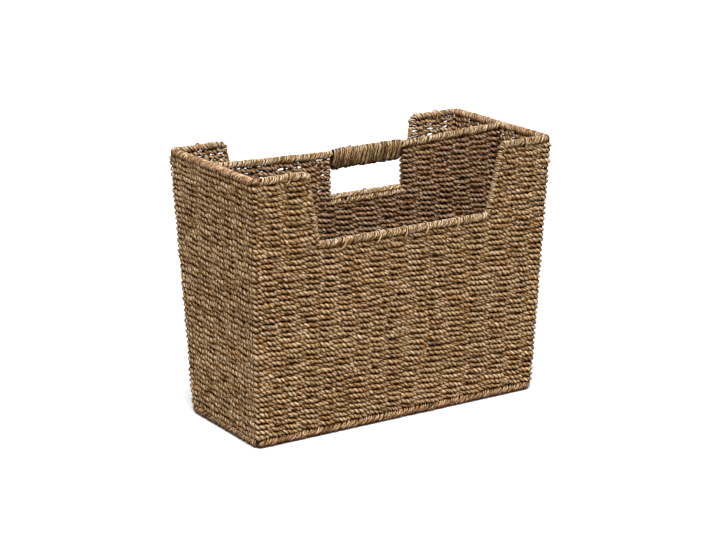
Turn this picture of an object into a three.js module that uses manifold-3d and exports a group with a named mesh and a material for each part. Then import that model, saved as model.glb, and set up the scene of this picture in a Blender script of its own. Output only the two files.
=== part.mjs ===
// Seagrass magazine basket: a tapered box woven round a welded wire frame, with a trapezoid notch
// in the front and back walls and a divider whose hand hole has a wound carrying handle.
// Millimetres, +Z up, +X along the length, the front faces -Y.
// The origin is on the ground under the middle of the basket.

import * as THREE from 'three';
import { mergeVertices } from 'three/addons/utils/BufferGeometryUtils.js';
import Module from 'manifold-3d';

const wasm = await Module();
wasm.setup();

// The box, between the centre lines of its corner posts: its rim, and how much less its foot measures
const rimLength = 373;
const rimDepth = 176;
const rimHeight = 293.5;
const lengthTaper = 19;
const depthTaper = 36;

// The notches of the front and back walls, between the centre lines of the rim rod, as shares of
// the rim's length and height
const shoulderShare = 0.168;
const notchFloorShare = 0.582;
const notchDepthShare = 0.264;

// The hand hole, between the centre lines of its rod, and the handle over it
const handHoleWidth = 102.4;
const handHoleShift = 4.2;
const handHoleDrop = 52.9;
const dividerSag = 5;
const handleRodSpacing = 10.6;
const handleCord = 3.3;
const handleTurns = 22;

// Wires of the frame
const frameWire = 4;
const stakeWire = 2.8;
const bendRadius = 6;
const notchStakes = 8;
const shoulderStakes = 3;
const endWallStakes = 5;
const handHoleBays = 4;

// Seagrass: the woven panels, and the sleeves of cord wrapped round the rods
const weaveThickness = 8.8;
const coursePitch = 6.1;
const courseGroove = 1.5;
const turnGroove = 0.9;
const rimWrap = 8.4;
const footWrap = 9.6;
const sillWrap = 5.5;

// Gap between pieces that touch
const clearance = 0.3;

// Share of a course's pitch at which the flat crest of a base course starts
const crestShare = 0.3;

// Facets
const rodSides = 8;
const boreSides = 4;
const wrapSides = 8;
const cordSides = 6;
const bendSteps = 2;
const handleArcSteps = 4;

// Levels and half sizes that follow
const footLength = rimLength - lengthTaper;
const footDepth = rimDepth - depthTaper;
const halfWeave = weaveThickness / 2;
const footRodHeight = footWrap / 2;
const weaveFoot = footWrap + clearance;
const weaveTop = rimHeight - rimWrap / 2 - clearance;
const notchDepth = rimHeight * notchDepthShare;
const notchFloor = rimHeight - notchDepth;
const notchFloorLength = rimLength * notchFloorShare;
const shoulderX = rimLength / 2 - rimLength * shoulderShare;
const notchHalf = notchFloorLength / 2;
const notchLean = (shoulderX - notchHalf) / notchDepth;
const panelReach = rimLength + rimHeight;
const butt = clearance / 2;

const point = (x, y, z) => new THREE.Vector3(x, y, z);
const up = point(0, 0, 1);
const lengthways = point(1, 0, 0);
const shareOfHeight = (z) => (z - footRodHeight) / (rimHeight - footRodHeight);
const halfLengthAt = (z) => (footLength + lengthTaper * shareOfHeight(z)) / 2;
const halfDepthAt = (z) => (footDepth + depthTaper * shareOfHeight(z)) / 2;

// A closed three.js geometry as a solid that can be joined and cut.
function solid(geometry) {
  geometry.deleteAttribute('normal');
  geometry.deleteAttribute('uv');
  const merged = mergeVertices(geometry);
  return new wasm.Manifold(new wasm.Mesh({
    numProp: 3,
    vertProperties: new Float32Array(merged.attributes.position.array),
    triVerts: new Uint32Array(merged.index.array),
  }));
}

const joined = (bodies) => bodies.reduce((sum, body) => sum.add(body));
const cutBy = (body, ...cutters) => cutters.reduce((rest, cutter) => rest.subtract(cutter), body);

// The part of a body on the side of a plane that the normal points to.
function keep(body, onPlane, normal) {
  const unit = normal.clone().normalize();
  return body.trimByPlane([unit.x, unit.y, unit.z], unit.dot(onPlane));
}

// The part of a body between two planes square to a direction, at two distances along it.
function slice(body, direction, low, high) {
  const above = keep(body, direction.clone().multiplyScalar(low), direction);
  return keep(above, direction.clone().multiplyScalar(high), direction.clone().negate());
}

// Centre line with one straight step between each stop and the next.
class RodLine extends THREE.Curve {
  constructor(stops) {
    super();
    this.stops = stops;
  }

  getUtoTmapping(share) {
    return share;
  }

  getPoint(share, target = new THREE.Vector3()) {
    const place = share * (this.stops.length - 1);
    const index = Math.min(Math.floor(place), this.stops.length - 2);
    return target.lerpVectors(this.stops[index], this.stops[index + 1], place - index);
  }

  getTangent(share, target = new THREE.Vector3()) {
    const last = this.stops.length - 1;
    const index = Math.round(share * last);
    const here = this.stops[index];
    const arriving = here.clone().sub(this.stops[Math.max(index - 1, 0)]).normalize();
    const leaving = this.stops[Math.min(index + 1, last)].clone().sub(here).normalize();
    return target.copy(arriving).add(leaving).normalize();
  }
}

// Stops of a bent rod: straight runs between its corners, each rounded to the bend radius.
function bent(corners) {
  const stops = [corners[0]];
  for (let i = 1; i < corners.length - 1; i += 1) {
    const arriving = corners[i].clone().sub(corners[i - 1]).normalize();
    const leaving = corners[i + 1].clone().sub(corners[i]).normalize();
    const reach = bendRadius * Math.tan(arriving.angleTo(leaving) / 2);
    const bend = new THREE.QuadraticBezierCurve3(
      corners[i].clone().addScaledVector(arriving, -reach),
      corners[i],
      corners[i].clone().addScaledVector(leaving, reach),
    );
    stops.push(...bend.getPoints(bendSteps));
  }
  stops.push(corners[corners.length - 1]);
  return stops;
}

// Regular section with a given size from its centre to its corners.
function section(cornerRadius, sides) {
  const corners = [];
  for (let i = 0; i < sides; i += 1) {
    const angle = (2 * Math.PI * (i + 1 / 2)) / sides;
    corners.push(new THREE.Vector2(cornerRadius * Math.cos(angle), cornerRadius * Math.sin(angle)));
  }
  return new THREE.Shape(corners);
}

// Distance from the centre of a bar to its corners, when its size is measured across its flats.
const cornerRadius = (acrossFlats, sides) => acrossFlats / 2 / Math.cos(Math.PI / sides);

function sweep(stops, radius, sides) {
  return solid(new THREE.ExtrudeGeometry(section(radius, sides), {
    steps: stops.length - 1,
    bevelEnabled: false,
    extrudePath: new RodLine(stops),
  }));
}

// A rod of the frame. Grown by the clearance, it is the bore that the rod needs.
const rod = (corners, wire, holeSides = boreSides) => (grow = 0) => {
  const sides = grow > 0 ? holeSides : rodSides;
  return sweep(bent(corners), cornerRadius(wire + 2 * grow, sides), sides);
};
const frameRod = (...corners) => rod(corners, frameWire);
const stakeRod = (...corners) => rod(corners, stakeWire);

// A sleeve of wrapped cord, without its bore.
const sleeve = (corners, wrap, grow = 0) => (
  sweep(bent(corners), cornerRadius(wrap + 2 * grow, wrapSides), wrapSides)
);

// Courses stacked between two heights, at the pitch that fits a whole number of them. Each bulges
// from a groove to a crest and back.
function courseStack(low, high) {
  const count = Math.max(1, Math.round((high - low) / coursePitch));
  const pitch = (high - low) / count;
  const halfAt = (z) => {
    const place = (z - low) / pitch;
    return halfWeave - courseGroove * (1 - 2 * Math.abs(place - Math.round(place)));
  };
  const heights = (from, to) => [
    from,
    ...Array.from({ length: 2 * count - 1 }, (_, i) => low + (pitch * (i + 1)) / 2)
      .filter((z) => z > from + clearance && z < to - clearance),
    to,
  ];
  return { halfAt, heights };
}

// A woven body between two heights. Its plan outline is a ring of points that depends on the height
// and on the half thickness there.
function woven({ halfAt, heights }, from, to, ringAt) {
  const rings = heights(from, to).map((z) => ringAt(z, halfAt(z)));
  const outline = rings[0].map(({ x, y }) => new THREE.Vector2(x, y));
  const steps = rings.length - 1;
  const geometry = new THREE.ExtrudeGeometry(new THREE.Shape(outline), {
    depth: steps,
    steps,
    bevelEnabled: false,
  });
  const { position } = geometry.attributes;
  const corner = new THREE.Vector2();
  for (let i = 0; i < position.count; i += 1) {
    corner.fromBufferAttribute(position, i);
    const distances = outline.map((place) => place.distanceTo(corner));
    const ring = rings[Math.round(position.getZ(i))];
    position.setXYZ(i, ...ring[distances.indexOf(Math.min(...distances))].toArray());
  }
  return solid(geometry);
}

// A prism across the depth of the basket, with an outline drawn in length and height.
function crossPrism(corners) {
  const shape = new THREE.Shape(corners.map(([x, z]) => new THREE.Vector2(x, z)));
  const geometry = new THREE.ExtrudeGeometry(shape, { depth: 2 * panelReach, bevelEnabled: false });
  geometry.translate(0, 0, -panelReach);
  geometry.applyMatrix4(new THREE.Matrix4().makeBasis(lengthways, up, lengthways.clone().cross(up)));
  return solid(geometry);
}

// Corners of the box, named by the sign of their x and y
const postAt = (x, y, z) => point(x * halfLengthAt(z), y * halfDepthAt(z), z);
const postFoot = (x, y) => postAt(x, y, footRodHeight);
const postHead = (x, y) => postAt(x, y, rimHeight);

// The part of a body on one wall's side of a corner, half a clearance short of the mitre plane.
function mitre(body, x, y, outward) {
  const normal = postHead(x, y).sub(postFoot(x, y)).cross(point(-x, -y, 0)).normalize();
  if (normal.dot(outward) < 0) normal.negate();
  return keep(body, postFoot(x, y).addScaledVector(normal, butt), normal);
}

// The four walls: which way each faces, and its two corners
const walls = {
  front: { outward: point(0, -1, 0), corners: [[-1, -1], [1, -1]] },
  back: { outward: point(0, 1, 0), corners: [[1, 1], [-1, 1]] },
  left: { outward: point(-1, 0, 0), corners: [[-1, 1], [-1, -1]] },
  right: { outward: point(1, 0, 0), corners: [[1, -1], [1, 1]] },
};

// What belongs to one wall: its side of both mitre planes and of the middle of the basket.
function ofWall(body, { outward, corners }) {
  const mitred = corners.reduce((rest, [x, y]) => mitre(rest, x, y, outward), body);
  return keep(mitred, point(0, 0, 0), outward);
}

// Rim rod of a long wall: the floor of its notch and the tops of the notch's sides
const notchFoot = (x, y) => point(x * notchHalf, y * halfDepthAt(notchFloor), notchFloor);
const notchHead = (x, y) => point(x * shoulderX, y * halfDepthAt(rimHeight), rimHeight);
const notchMiddle = (x, y) => point(x * butt, y * halfDepthAt(notchFloor), notchFloor);

const rimRod = frameRod(
  notchMiddle(-1, 1),
  notchFoot(-1, 1),
  notchHead(-1, 1),
  postHead(-1, 1),
  postHead(-1, -1),
  notchHead(-1, -1),
  notchFoot(-1, -1),
  notchFoot(1, -1),
  notchHead(1, -1),
  postHead(1, -1),
  postHead(1, 1),
  notchHead(1, 1),
  notchFoot(1, 1),
  notchMiddle(1, 1),
);

const footRing = frameRod(
  point(-butt, footDepth / 2, footRodHeight),
  postFoot(-1, 1),
  postFoot(-1, -1),
  postFoot(1, -1),
  postFoot(1, 1),
  point(butt, footDepth / 2, footRodHeight),
);

const cornerPost = (x, y) => frameRod(postFoot(x, y), postHead(x, y));

// Places of the stakes in a long wall, as shares of its half length. The corners of the notch are
// in the middle of a bay.
const notchBay = notchFloorLength / notchStakes;
const shoulderBay = (halfLengthAt(notchFloor) - notchHalf) / (shoulderStakes + 1 / 2);
const underNotch = Array.from({ length: notchStakes }, (_, i) => notchBay * (i + 1 / 2) - notchHalf);
const besideNotch = Array.from({ length: shoulderStakes }, (_, i) => shoulderBay * (i + 1 / 2) + notchHalf);
const longWallShares = [...besideNotch.map((x) => -x), ...underNotch, ...besideNotch]
  .map((x) => x / halfLengthAt(notchFloor));
const endWallShares = Array.from(
  { length: endWallStakes },
  (_, i) => (2 * (i + 1)) / (endWallStakes + 1) - 1,
);

// Height at which a stake of a long wall meets the rim rod: at the notch's floor, side or shoulder.
function stakeHead(share) {
  const pastFloor = Math.abs(share) * halfLengthAt(notchFloor) - notchHalf;
  if (pastFloor <= 0) return notchFloor;
  const stakeLean = (Math.abs(share) * lengthTaper) / 2 / (rimHeight - footRodHeight);
  return Math.min(rimHeight, notchFloor + pastFloor / (notchLean - stakeLean));
}

// A stake of a wall stands on the foot ring and is welded to the rim rod.
const stakeFoot = footRodHeight + frameWire / 2 + clearance;
const wallStake = (at, head) => (grow = 0) => (
  keep(stakeRod(at(0), at(head))(grow), point(0, 0, stakeFoot - grow), up)
);
const longWallStake = (share, y) => (
  wallStake((z) => point(share * halfLengthAt(z), y * halfDepthAt(z), z), stakeHead(share))
);
const endWallStake = (x, share) => (
  wallStake((z) => point(x * halfLengthAt(z), share * halfDepthAt(z), z), rimHeight)
);
const wallStakes = [-1, 1].flatMap((side) => [
  ...longWallShares.map((share) => longWallStake(share, side)),
  ...endWallShares.map((share) => endWallStake(side, share)),
]);

const baseCrossRods = longWallShares.map((share) => {
  const at = (y) => point(share * halfLengthAt(footRodHeight), (y * footDepth) / 2, halfWeave);
  return stakeRod(at(-1), at(1));
});

// Divider: its frame stands on the base weave and ends short of the end walls
const handHoleLeft = handHoleShift - handHoleWidth / 2;
const handHoleRight = handHoleShift + handHoleWidth / 2;
const dividerRodHeight = rimHeight - dividerSag;
const handHoleSillHeight = rimHeight - handHoleDrop;
const dividerFoot = weaveThickness + clearance;
const dividerFootRodHeight = dividerFoot + frameWire;
const dividerPostInset = halfWeave + clearance + frameWire;
const dividerPostX = (z) => halfLengthAt(z) - dividerPostInset;

// Corners of the divider's top rod, or of an edge below it: level over the hand hole, rising to the rim
const dividerTopCorners = (drop = 0) => [
  point(-rimLength / 2, 0, rimHeight - drop),
  point(handHoleLeft, 0, dividerRodHeight - drop),
  point(handHoleRight, 0, dividerRodHeight - drop),
  point(rimLength / 2, 0, rimHeight - drop),
];

function dividerTopAt(x) {
  const sign = x < handHoleShift ? -1 : 1;
  const side = sign < 0 ? handHoleLeft : handHoleRight;
  const end = (sign * rimLength) / 2;
  return dividerRodHeight + dividerSag * THREE.MathUtils.clamp((x - side) / (end - side), 0, 1);
}

const dividerTopRod = frameRod(...dividerTopCorners());
const dividerPostFoot = (x) => point(x * dividerPostX(dividerFootRodHeight), 0, dividerFootRodHeight);
const dividerPostHead = (x) => {
  const reach = x * dividerPostX(rimHeight);
  return point(reach, 0, dividerTopAt(reach));
};
// Its bore has the rod's own sides, so that it stays within the grooves of the weave.
const dividerFrameCorners = [dividerPostHead(-1), dividerPostFoot(-1), dividerPostFoot(1), dividerPostHead(1)];
const dividerFrameRod = rod(dividerFrameCorners, frameWire, rodSides);

const handHoleRod = stakeRod(
  point(handHoleLeft, 0, dividerRodHeight),
  point(handHoleLeft, 0, handHoleSillHeight),
  point(handHoleRight, 0, handHoleSillHeight),
  point(handHoleRight, 0, dividerRodHeight),
);

const handleLowerHeight = dividerRodHeight - handleRodSpacing;
const handleLowerRod = frameRod(
  point(handHoleLeft, 0, handleLowerHeight),
  point(handHoleRight, 0, handleLowerHeight),
);

// Stakes of the divider stand one bay apart from the middle of the hand hole. The hand hole's rod
// takes the place of the two at its sides, and those between end at its sill.
function dividerStakes() {
  const bay = handHoleWidth / handHoleBays;
  const reach = dividerPostX(dividerFootRodHeight) - bay / 2;
  const most = Math.floor((reach + Math.abs(handHoleShift)) / bay);
  return Array.from({ length: 2 * most + 1 }, (_, i) => (i - most) * bay)
    .filter((pastMiddle) => Math.abs(handHoleShift + pastMiddle) < reach)
    .filter((pastMiddle) => Math.abs(Math.abs(pastMiddle) - handHoleWidth / 2) > bay / 4)
    .map((pastMiddle) => {
      const x = handHoleShift + pastMiddle;
      const top = Math.abs(pastMiddle) < handHoleWidth / 2 ? handHoleSillHeight : dividerTopAt(x);
      return stakeRod(point(x, 0, dividerFootRodHeight), point(x, 0, top));
    });
}

// Bores that the rods need in whatever surrounds them
const grown = (rods) => joined(rods.map((line) => line(clearance)));
const ringBore = footRing(clearance);
const rimBore = rimRod(clearance);
const postBores = grown([[-1, -1], [1, -1], [1, 1], [-1, 1]].map(([x, y]) => cornerPost(x, y)));
const wallStakeBores = grown(wallStakes);
const crossRodBores = grown(baseCrossRods);
const topRodBore = dividerTopRod(clearance);
const dividerBores = grown([dividerFrameRod, handHoleRod, ...dividerStakes()]);

// The woven side of a notch: the stretch of the rim rod that the courses turn back round
function notchSide(x, y) {
  const along = notchHead(x, y).sub(notchFoot(x, y)).normalize();
  return {
    along,
    wovenFrom: notchFoot(x, y).addScaledVector(along, bendRadius),
    wovenTo: notchHead(x, y).addScaledVector(along, -bendRadius),
  };
}

// Sleeve on the floor of a notch, up to the woven sides.
function notchFloorSleeve(y, grow = 0) {
  const corners = [notchHead(-1, y), notchFoot(-1, y), notchFoot(1, y), notchHead(1, y)];
  return [-1, 1].reduce((rest, x) => {
    const { wovenFrom, along } = notchSide(x, y);
    return keep(rest, wovenFrom.addScaledVector(along, grow - clearance), along.negate());
  }, sleeve(corners, rimWrap, grow));
}

// Sleeve on a shoulder, from the corner of the rim to the woven side of the notch.
function shoulderSleeve(x, y, grow = 0) {
  const corners = [notchFoot(x, y), notchHead(x, y), postHead(x, y), postHead(x, -y)];
  const { wovenTo, along } = notchSide(x, y);
  const upper = keep(
    sleeve(corners, rimWrap, grow),
    wovenTo.addScaledVector(along, clearance - grow),
    along,
  );
  return mitre(upper, x, y, point(0, y, 0));
}

// Sleeve on a straight side of the foot or the rim, mitred at both corners.
function borderSleeve(wall, cornerAt, wrap) {
  const [[startX, startY], [endX, endY]] = wall.corners;
  const across = wall.outward.x === 0 ? [1, -1] : [-1, 1];
  return ofWall(sleeve([
    cornerAt(startX * across[0], startY * across[1]),
    cornerAt(startX, startY),
    cornerAt(endX, endY),
    cornerAt(endX * across[0], endY * across[1]),
  ], wrap), wall);
}

// Half thickness where the courses turn round a rod, with shallower grooves.
const turnHalf = (half) => halfWeave - ((halfWeave - half) * turnGroove) / courseGroove;

// Plan outline of a long wall's end: round the corner post from its outer face to its inner face.
function postTurn(x, y, z, wallHalf) {
  const half = turnHalf(wallHalf);
  const post = postAt(x, y, z);
  return [
    post.clone().add(point(0, y * half, 0)),
    post.clone().add(point(x, y, 0).setLength(half)),
    post.clone().add(point(x * half, 0, 0)),
    post.clone().add(point(x * half, -y * half, 0)),
  ];
}

// Plan outline of the turn of the courses round an upright rod, from the face that looks outward
// through the open side to the other face.
function courseTurn(middle, outward, open, wallHalf) {
  const half = turnHalf(wallHalf);
  return [0, 1, 2, 3, 4].map((eighth) => {
    const angle = (eighth * Math.PI) / 4;
    return middle.clone()
      .addScaledVector(outward, half * Math.cos(angle))
      .addScaledVector(open, half * Math.sin(angle));
  });
}

const wallCourses = courseStack(weaveFoot, weaveTop);

// An end wall, without its bores: it stands between the inner faces of the long walls.
const endPanel = (x) => woven(wallCourses, weaveFoot, weaveTop, (z, half) => {
  const end = halfDepthAt(z) - halfWeave - clearance;
  return [
    point(x * halfLengthAt(z) - half, -end, z),
    point(x * halfLengthAt(z) + half, -end, z),
    point(x * halfLengthAt(z) + half, end, z),
    point(x * halfLengthAt(z) - half, end, z),
  ];
});

// A long wall, without its bores: whole up to the floor of its notch, then a shoulder on each side
// of the notch, with the courses turned back round the notch's sides.
function notchedPanel(wall, y) {
  const cutFloor = notchFloor - rimWrap / 2 - clearance;
  const sideAt = (z) => notchHalf + (z - notchFloor) * notchLean;
  const lower = woven(wallCourses, weaveFoot, cutFloor, (z, half) => [
    ...postTurn(-1, y, z, half).reverse(),
    ...postTurn(1, y, z, half),
  ]);
  const { wovenTo } = notchSide(1, y);
  const mouth = ofWall(crossPrism([
    [-sideAt(wovenTo.z), wovenTo.z],
    [sideAt(wovenTo.z), wovenTo.z],
    [sideAt(rimHeight), rimHeight],
    [-sideAt(rimHeight), rimHeight],
  ]), wall);
  const shoulders = [-1, 1].map((x) => cutBy(
    woven(wallCourses, cutFloor, weaveTop, (z, half) => [
      ...postTurn(x, y, z, half).reverse(),
      ...courseTurn(point(x * sideAt(z), y * halfDepthAt(z), z), wall.outward, point(-x, 0, 0), half),
    ]),
    mouth,
    notchFloorSleeve(y, clearance),
    shoulderSleeve(x, y, clearance),
  ));
  return joined([lower, ...shoulders]);
}

// The divider: whole up to the sill of the hand hole, then a side on each side of the hole, cut
// along the sagging top rod.
function dividerPanel() {
  const courses = courseStack(dividerFoot, weaveTop);
  const sill = handHoleSillHeight - sillWrap / 2 - clearance;
  const endAt = (x, z) => x * (halfLengthAt(z) - halfWeave - clearance);
  const { outward } = walls.front;
  const lower = woven(courses, dividerFoot, sill, (z, half) => [
    point(endAt(-1, z), -half, z),
    point(endAt(1, z), -half, z),
    point(endAt(1, z), half, z),
    point(endAt(-1, z), half, z),
  ]);
  const [startTop, leftTop, rightTop, endTop] = dividerTopCorners(rimWrap / 2 + clearance);
  const sides = [[-1, handHoleLeft, leftTop, startTop], [1, handHoleRight, rightTop, endTop]];
  return joined([lower, ...sides.map(([x, holeX, innerTop, outerTop]) => {
    const side = woven(courses, sill, weaveTop, (z, half) => [
      point(endAt(x, z), half, z),
      point(endAt(x, z), -half, z),
      ...courseTurn(point(holeX, 0, z), outward, point(-x, 0, 0), half),
    ]);
    const slope = outerTop.clone().sub(innerTop);
    return keep(side, innerTop, point(x * slope.z, 0, -Math.abs(slope.x)));
  })]);
}

// The base: an odd number of flat-topped courses along its length, laid inside the foot border, so
// that the middle one gives the face that the basket rests on.
function basePanel() {
  const halfLength = footLength / 2 - footWrap / 2 - clearance;
  const halfDepth = footDepth / 2 - footWrap / 2 - clearance;
  const count = 2 * Math.floor(halfDepth / coursePitch) + 1;
  const pitch = (2 * halfDepth) / count;
  const edge = Array.from({ length: count }, (_, i) => i * pitch - halfDepth).flatMap((start) => [
    [start, halfWeave - courseGroove],
    [start + pitch * crestShare, halfWeave],
    [start + pitch * (1 - crestShare), halfWeave],
  ]);
  edge.push([halfDepth, halfWeave - courseGroove]);
  const outline = [
    ...edge.map(([y, half]) => new THREE.Vector2(y, halfWeave - half)),
    ...edge.reverse().map(([y, half]) => new THREE.Vector2(y, halfWeave + half)),
  ];
  const geometry = new THREE.ExtrudeGeometry(new THREE.Shape(outline), {
    depth: 2 * halfLength,
    bevelEnabled: false,
  });
  geometry.translate(0, 0, -halfLength);
  geometry.applyMatrix4(new THREE.Matrix4().makeBasis(walls.back.outward, up, lengthways));
  const cornerCut = halfLength + halfDepth - bendRadius / 2;
  return [[-1, -1], [1, -1], [1, 1], [-1, 1]].reduce((panel, [x, y]) => (
    keep(panel, point(x * cornerCut, 0, 0), point(-x, -y, 0))
  ), solid(geometry));
}

// Sleeve on the divider's top rod between two places along its length.
const dividerRimSleeve = (from, to) => slice(sleeve(dividerTopCorners(), rimWrap), lengthways, from, to);

// The cord of the handle runs round both rods, one turn after another, each a stadium.
const handleRodReach = cornerRadius(frameWire, rodSides) + clearance + handleCord / 2;
const handleRound = handleRodReach / Math.cos(Math.PI / (2 * handleArcSteps));
const handleStart = handHoleLeft + halfWeave + clearance;
const handleEnd = handHoleRight - halfWeave - clearance;
const handlePitch = (handleEnd - handleStart - handleCord) / handleTurns;

function handleStops() {
  const arcPoint = (angle, height) => [handleRound * Math.cos(angle), height + handleRound * Math.sin(angle)];
  const arcStep = Math.PI / handleArcSteps;
  const arc = Array.from({ length: handleArcSteps + 1 }, (_, i) => i * arcStep);
  const middle = [handleRound, (dividerRodHeight + handleLowerHeight) / 2];
  const round = [
    middle,
    ...arc.map((angle) => arcPoint(-angle, handleLowerHeight)),
    ...arc.map((angle) => arcPoint(Math.PI - angle, dividerRodHeight)),
    middle,
  ];
  const steps = round.slice(1).map(([y, z], i) => Math.hypot(y - round[i][0], z - round[i][1]));
  const length = steps.reduce((sum, step) => sum + step);
  const stops = [];
  for (let turn = 0; turn < handleTurns; turn += 1) {
    let travelled = 0;
    round.slice(0, -1).forEach(([y, z], i) => {
      const x = handleStart + handleCord / 2 + handlePitch * (turn + travelled / length);
      travelled += steps[i];
      if (turn === 0 || i > 0) stops.push(point(x, y, z));
    });
  }
  stops.push(point(handleEnd - handleCord / 2, ...middle));
  return stops;
}

// Least gap between the turns of the handle's cord, measured between points along its middle.
function leastTurnGap(stops) {
  const line = new RodLine(stops);
  const stepsPerTurn = (stops.length - 1) / handleTurns;
  const count = (stops.length - 1) * bendSteps;
  const points = Array.from({ length: count + 1 }, (_, i) => line.getPoint(i / count));
  const apart = Math.round((stepsPerTurn * bendSteps) / 2);
  let least = Infinity;
  for (let i = 0; i < points.length; i += 1) {
    for (let j = i + apart; j < Math.min(points.length, i + 3 * apart); j += 1) {
      least = Math.min(least, points[i].distanceTo(points[j]));
    }
  }
  return least - handleCord;
}

const handleLine = handleStops();
console.log(`handle winding: ${handleTurns} turns, least gap ${leastTurnGap(handleLine).toFixed(2)} mm`);

// Finishes
const finish = (color, roughness, metalness = 0) => ({ color, roughness, metalness });
const finishes = {
  wallSeagrass: finish(0x94754a, 0.85),
  innerSeagrass: finish(0x775738, 0.85),
  rimSeagrass: finish(0xc09a5f, 0.8),
  endRimSeagrass: finish(0xa8754a, 0.8),
  footSeagrass: finish(0x8c5f38, 0.85),
  handleSeagrass: finish(0xa08050, 0.8),
  wire: finish(0x3c3a38, 0.5, 0.8),
};

const basket = new THREE.Group();

// Adds a solid to the basket as a named mesh with its own material.
function place(name, body, look) {
  const { vertProperties, triVerts } = body.getMesh();
  const geometry = new THREE.BufferGeometry();
  geometry.setAttribute('position', new THREE.BufferAttribute(vertProperties, 3));
  geometry.setIndex(new THREE.BufferAttribute(triVerts, 1));
  geometry.computeVertexNormals();
  const mesh = new THREE.Mesh(geometry, new THREE.MeshStandardMaterial(look));
  mesh.name = name;
  basket.add(mesh);
}

// Frame: each set of rods that is welded together is one solid
const welded = (rods) => joined(rods.map((line) => line()));
place('rim_frame', welded([rimRod, ...wallStakes]), finishes.wire);
place('foot_frame', welded([footRing, ...baseCrossRods]), finishes.wire);
for (const [name, x, y] of [
  ['front_left', -1, -1],
  ['front_right', 1, -1],
  ['back_left', -1, 1],
  ['back_right', 1, 1],
]) {
  place(`corner_post_${name}`, cutBy(cornerPost(x, y)(), ringBore, rimBore), finishes.wire);
}
place('divider_top_rod', cutBy(dividerTopRod(), rimBore), finishes.wire);
place('divider_frame', cutBy(
  welded([dividerFrameRod, handHoleRod, ...dividerStakes()]),
  topRodBore,
), finishes.wire);
place('handle_lower_rod', cutBy(handleLowerRod(), handHoleRod(clearance)), finishes.wire);

// Woven panels
const wallBores = [rimBore, postBores, wallStakeBores];
place('front_wall_weave', cutBy(notchedPanel(walls.front, -1), ...wallBores), finishes.wallSeagrass);
place('back_wall_weave', cutBy(notchedPanel(walls.back, 1), ...wallBores), finishes.wallSeagrass);
place('left_end_weave', cutBy(endPanel(-1), ...wallBores), finishes.wallSeagrass);
place('right_end_weave', cutBy(endPanel(1), ...wallBores), finishes.wallSeagrass);
place('base_weave', cutBy(basePanel(), crossRodBores), finishes.innerSeagrass);
place('divider_weave', cutBy(
  dividerPanel(),
  dividerBores,
  handleLowerRod(clearance),
), finishes.innerSeagrass);

// Wrapped rims
const rimBores = [rimBore, postBores, wallStakeBores, topRodBore];
for (const wall of ['left', 'right']) {
  place(`${wall}_rim_wrap`, cutBy(
    borderSleeve(walls[wall], postHead, rimWrap),
    ...rimBores,
  ), finishes.endRimSeagrass);
}
for (const [wall, y] of [['front', -1], ['back', 1]]) {
  place(`${wall}_left_shoulder_wrap`, cutBy(shoulderSleeve(-1, y), ...rimBores), finishes.rimSeagrass);
  place(`${wall}_right_shoulder_wrap`, cutBy(shoulderSleeve(1, y), ...rimBores), finishes.rimSeagrass);
  place(`${wall}_notch_wrap`, cutBy(notchFloorSleeve(y), ...rimBores), finishes.rimSeagrass);
}
const rimInner = rimLength / 2 - rimWrap / 2 - clearance;
place('divider_rim_wrap_left', cutBy(
  dividerRimSleeve(-rimInner, handleStart - clearance),
  topRodBore,
  dividerBores,
), finishes.rimSeagrass);
place('divider_rim_wrap_right', cutBy(
  dividerRimSleeve(handleEnd + clearance, rimInner),
  topRodBore,
  dividerBores,
), finishes.rimSeagrass);
place('hand_hole_sill_wrap', cutBy(
  sleeve([point(handleStart, 0, handHoleSillHeight), point(handleEnd, 0, handHoleSillHeight)], sillWrap),
  dividerBores,
), finishes.rimSeagrass);
place('handle_winding', sweep(handleLine, handleCord / 2, cordSides), finishes.handleSeagrass);

// Wrapped foot border
for (const [name, wall] of Object.entries(walls)) {
  place(`foot_wrap_${name}`, cutBy(
    borderSleeve(wall, postFoot, footWrap),
    ringBore,
    postBores,
    wallStakeBores,
    crossRodBores,
  ), finishes.footSeagrass);
}

export default basket;
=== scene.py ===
"""Looks of a divided seagrass magazine basket, built round its CAD frame.

The frame's wires stay as they are in model.glb. Every woven, wrapped or wound part is modelled here as
real lengths of two-ply cord that follow the same places as the CAD parts they stand for.
Lengths are in metres, +Z is up and the front faces -Y.
"""

import logging
import math
from dataclasses import dataclass, field, replace
from enum import Enum
from typing import Callable, Optional, Sequence

import bmesh
import bpy
import numpy as np
from mathutils import Matrix, Vector

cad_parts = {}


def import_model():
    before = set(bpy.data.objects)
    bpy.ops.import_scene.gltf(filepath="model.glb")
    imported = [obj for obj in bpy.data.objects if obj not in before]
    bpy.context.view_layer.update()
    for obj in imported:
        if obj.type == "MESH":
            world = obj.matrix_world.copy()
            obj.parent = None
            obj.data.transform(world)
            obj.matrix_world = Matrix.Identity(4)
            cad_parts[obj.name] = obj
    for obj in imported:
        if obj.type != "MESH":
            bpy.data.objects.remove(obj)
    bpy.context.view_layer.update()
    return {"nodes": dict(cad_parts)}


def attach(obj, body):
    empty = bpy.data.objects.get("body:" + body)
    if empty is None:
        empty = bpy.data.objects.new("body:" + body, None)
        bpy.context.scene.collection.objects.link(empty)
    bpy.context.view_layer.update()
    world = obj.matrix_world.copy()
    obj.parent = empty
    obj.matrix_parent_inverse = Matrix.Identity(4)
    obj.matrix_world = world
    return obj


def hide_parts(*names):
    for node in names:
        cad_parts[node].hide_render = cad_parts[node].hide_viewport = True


log = logging.getLogger("basket")

MM = 0.001
UP = np.array([0.0, 0.0, 1.0])
LENGTHWAYS = np.array([1.0, 0.0, 0.0])
FRONT = np.array([0.0, -1.0, 0.0])

Point = tuple[float, float, float]
Colour = tuple[float, float, float]
Wall = tuple[int, int]
Tint = Callable[[np.ndarray, np.ndarray], np.ndarray]
Socket = bpy.types.NodeSocket


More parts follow.
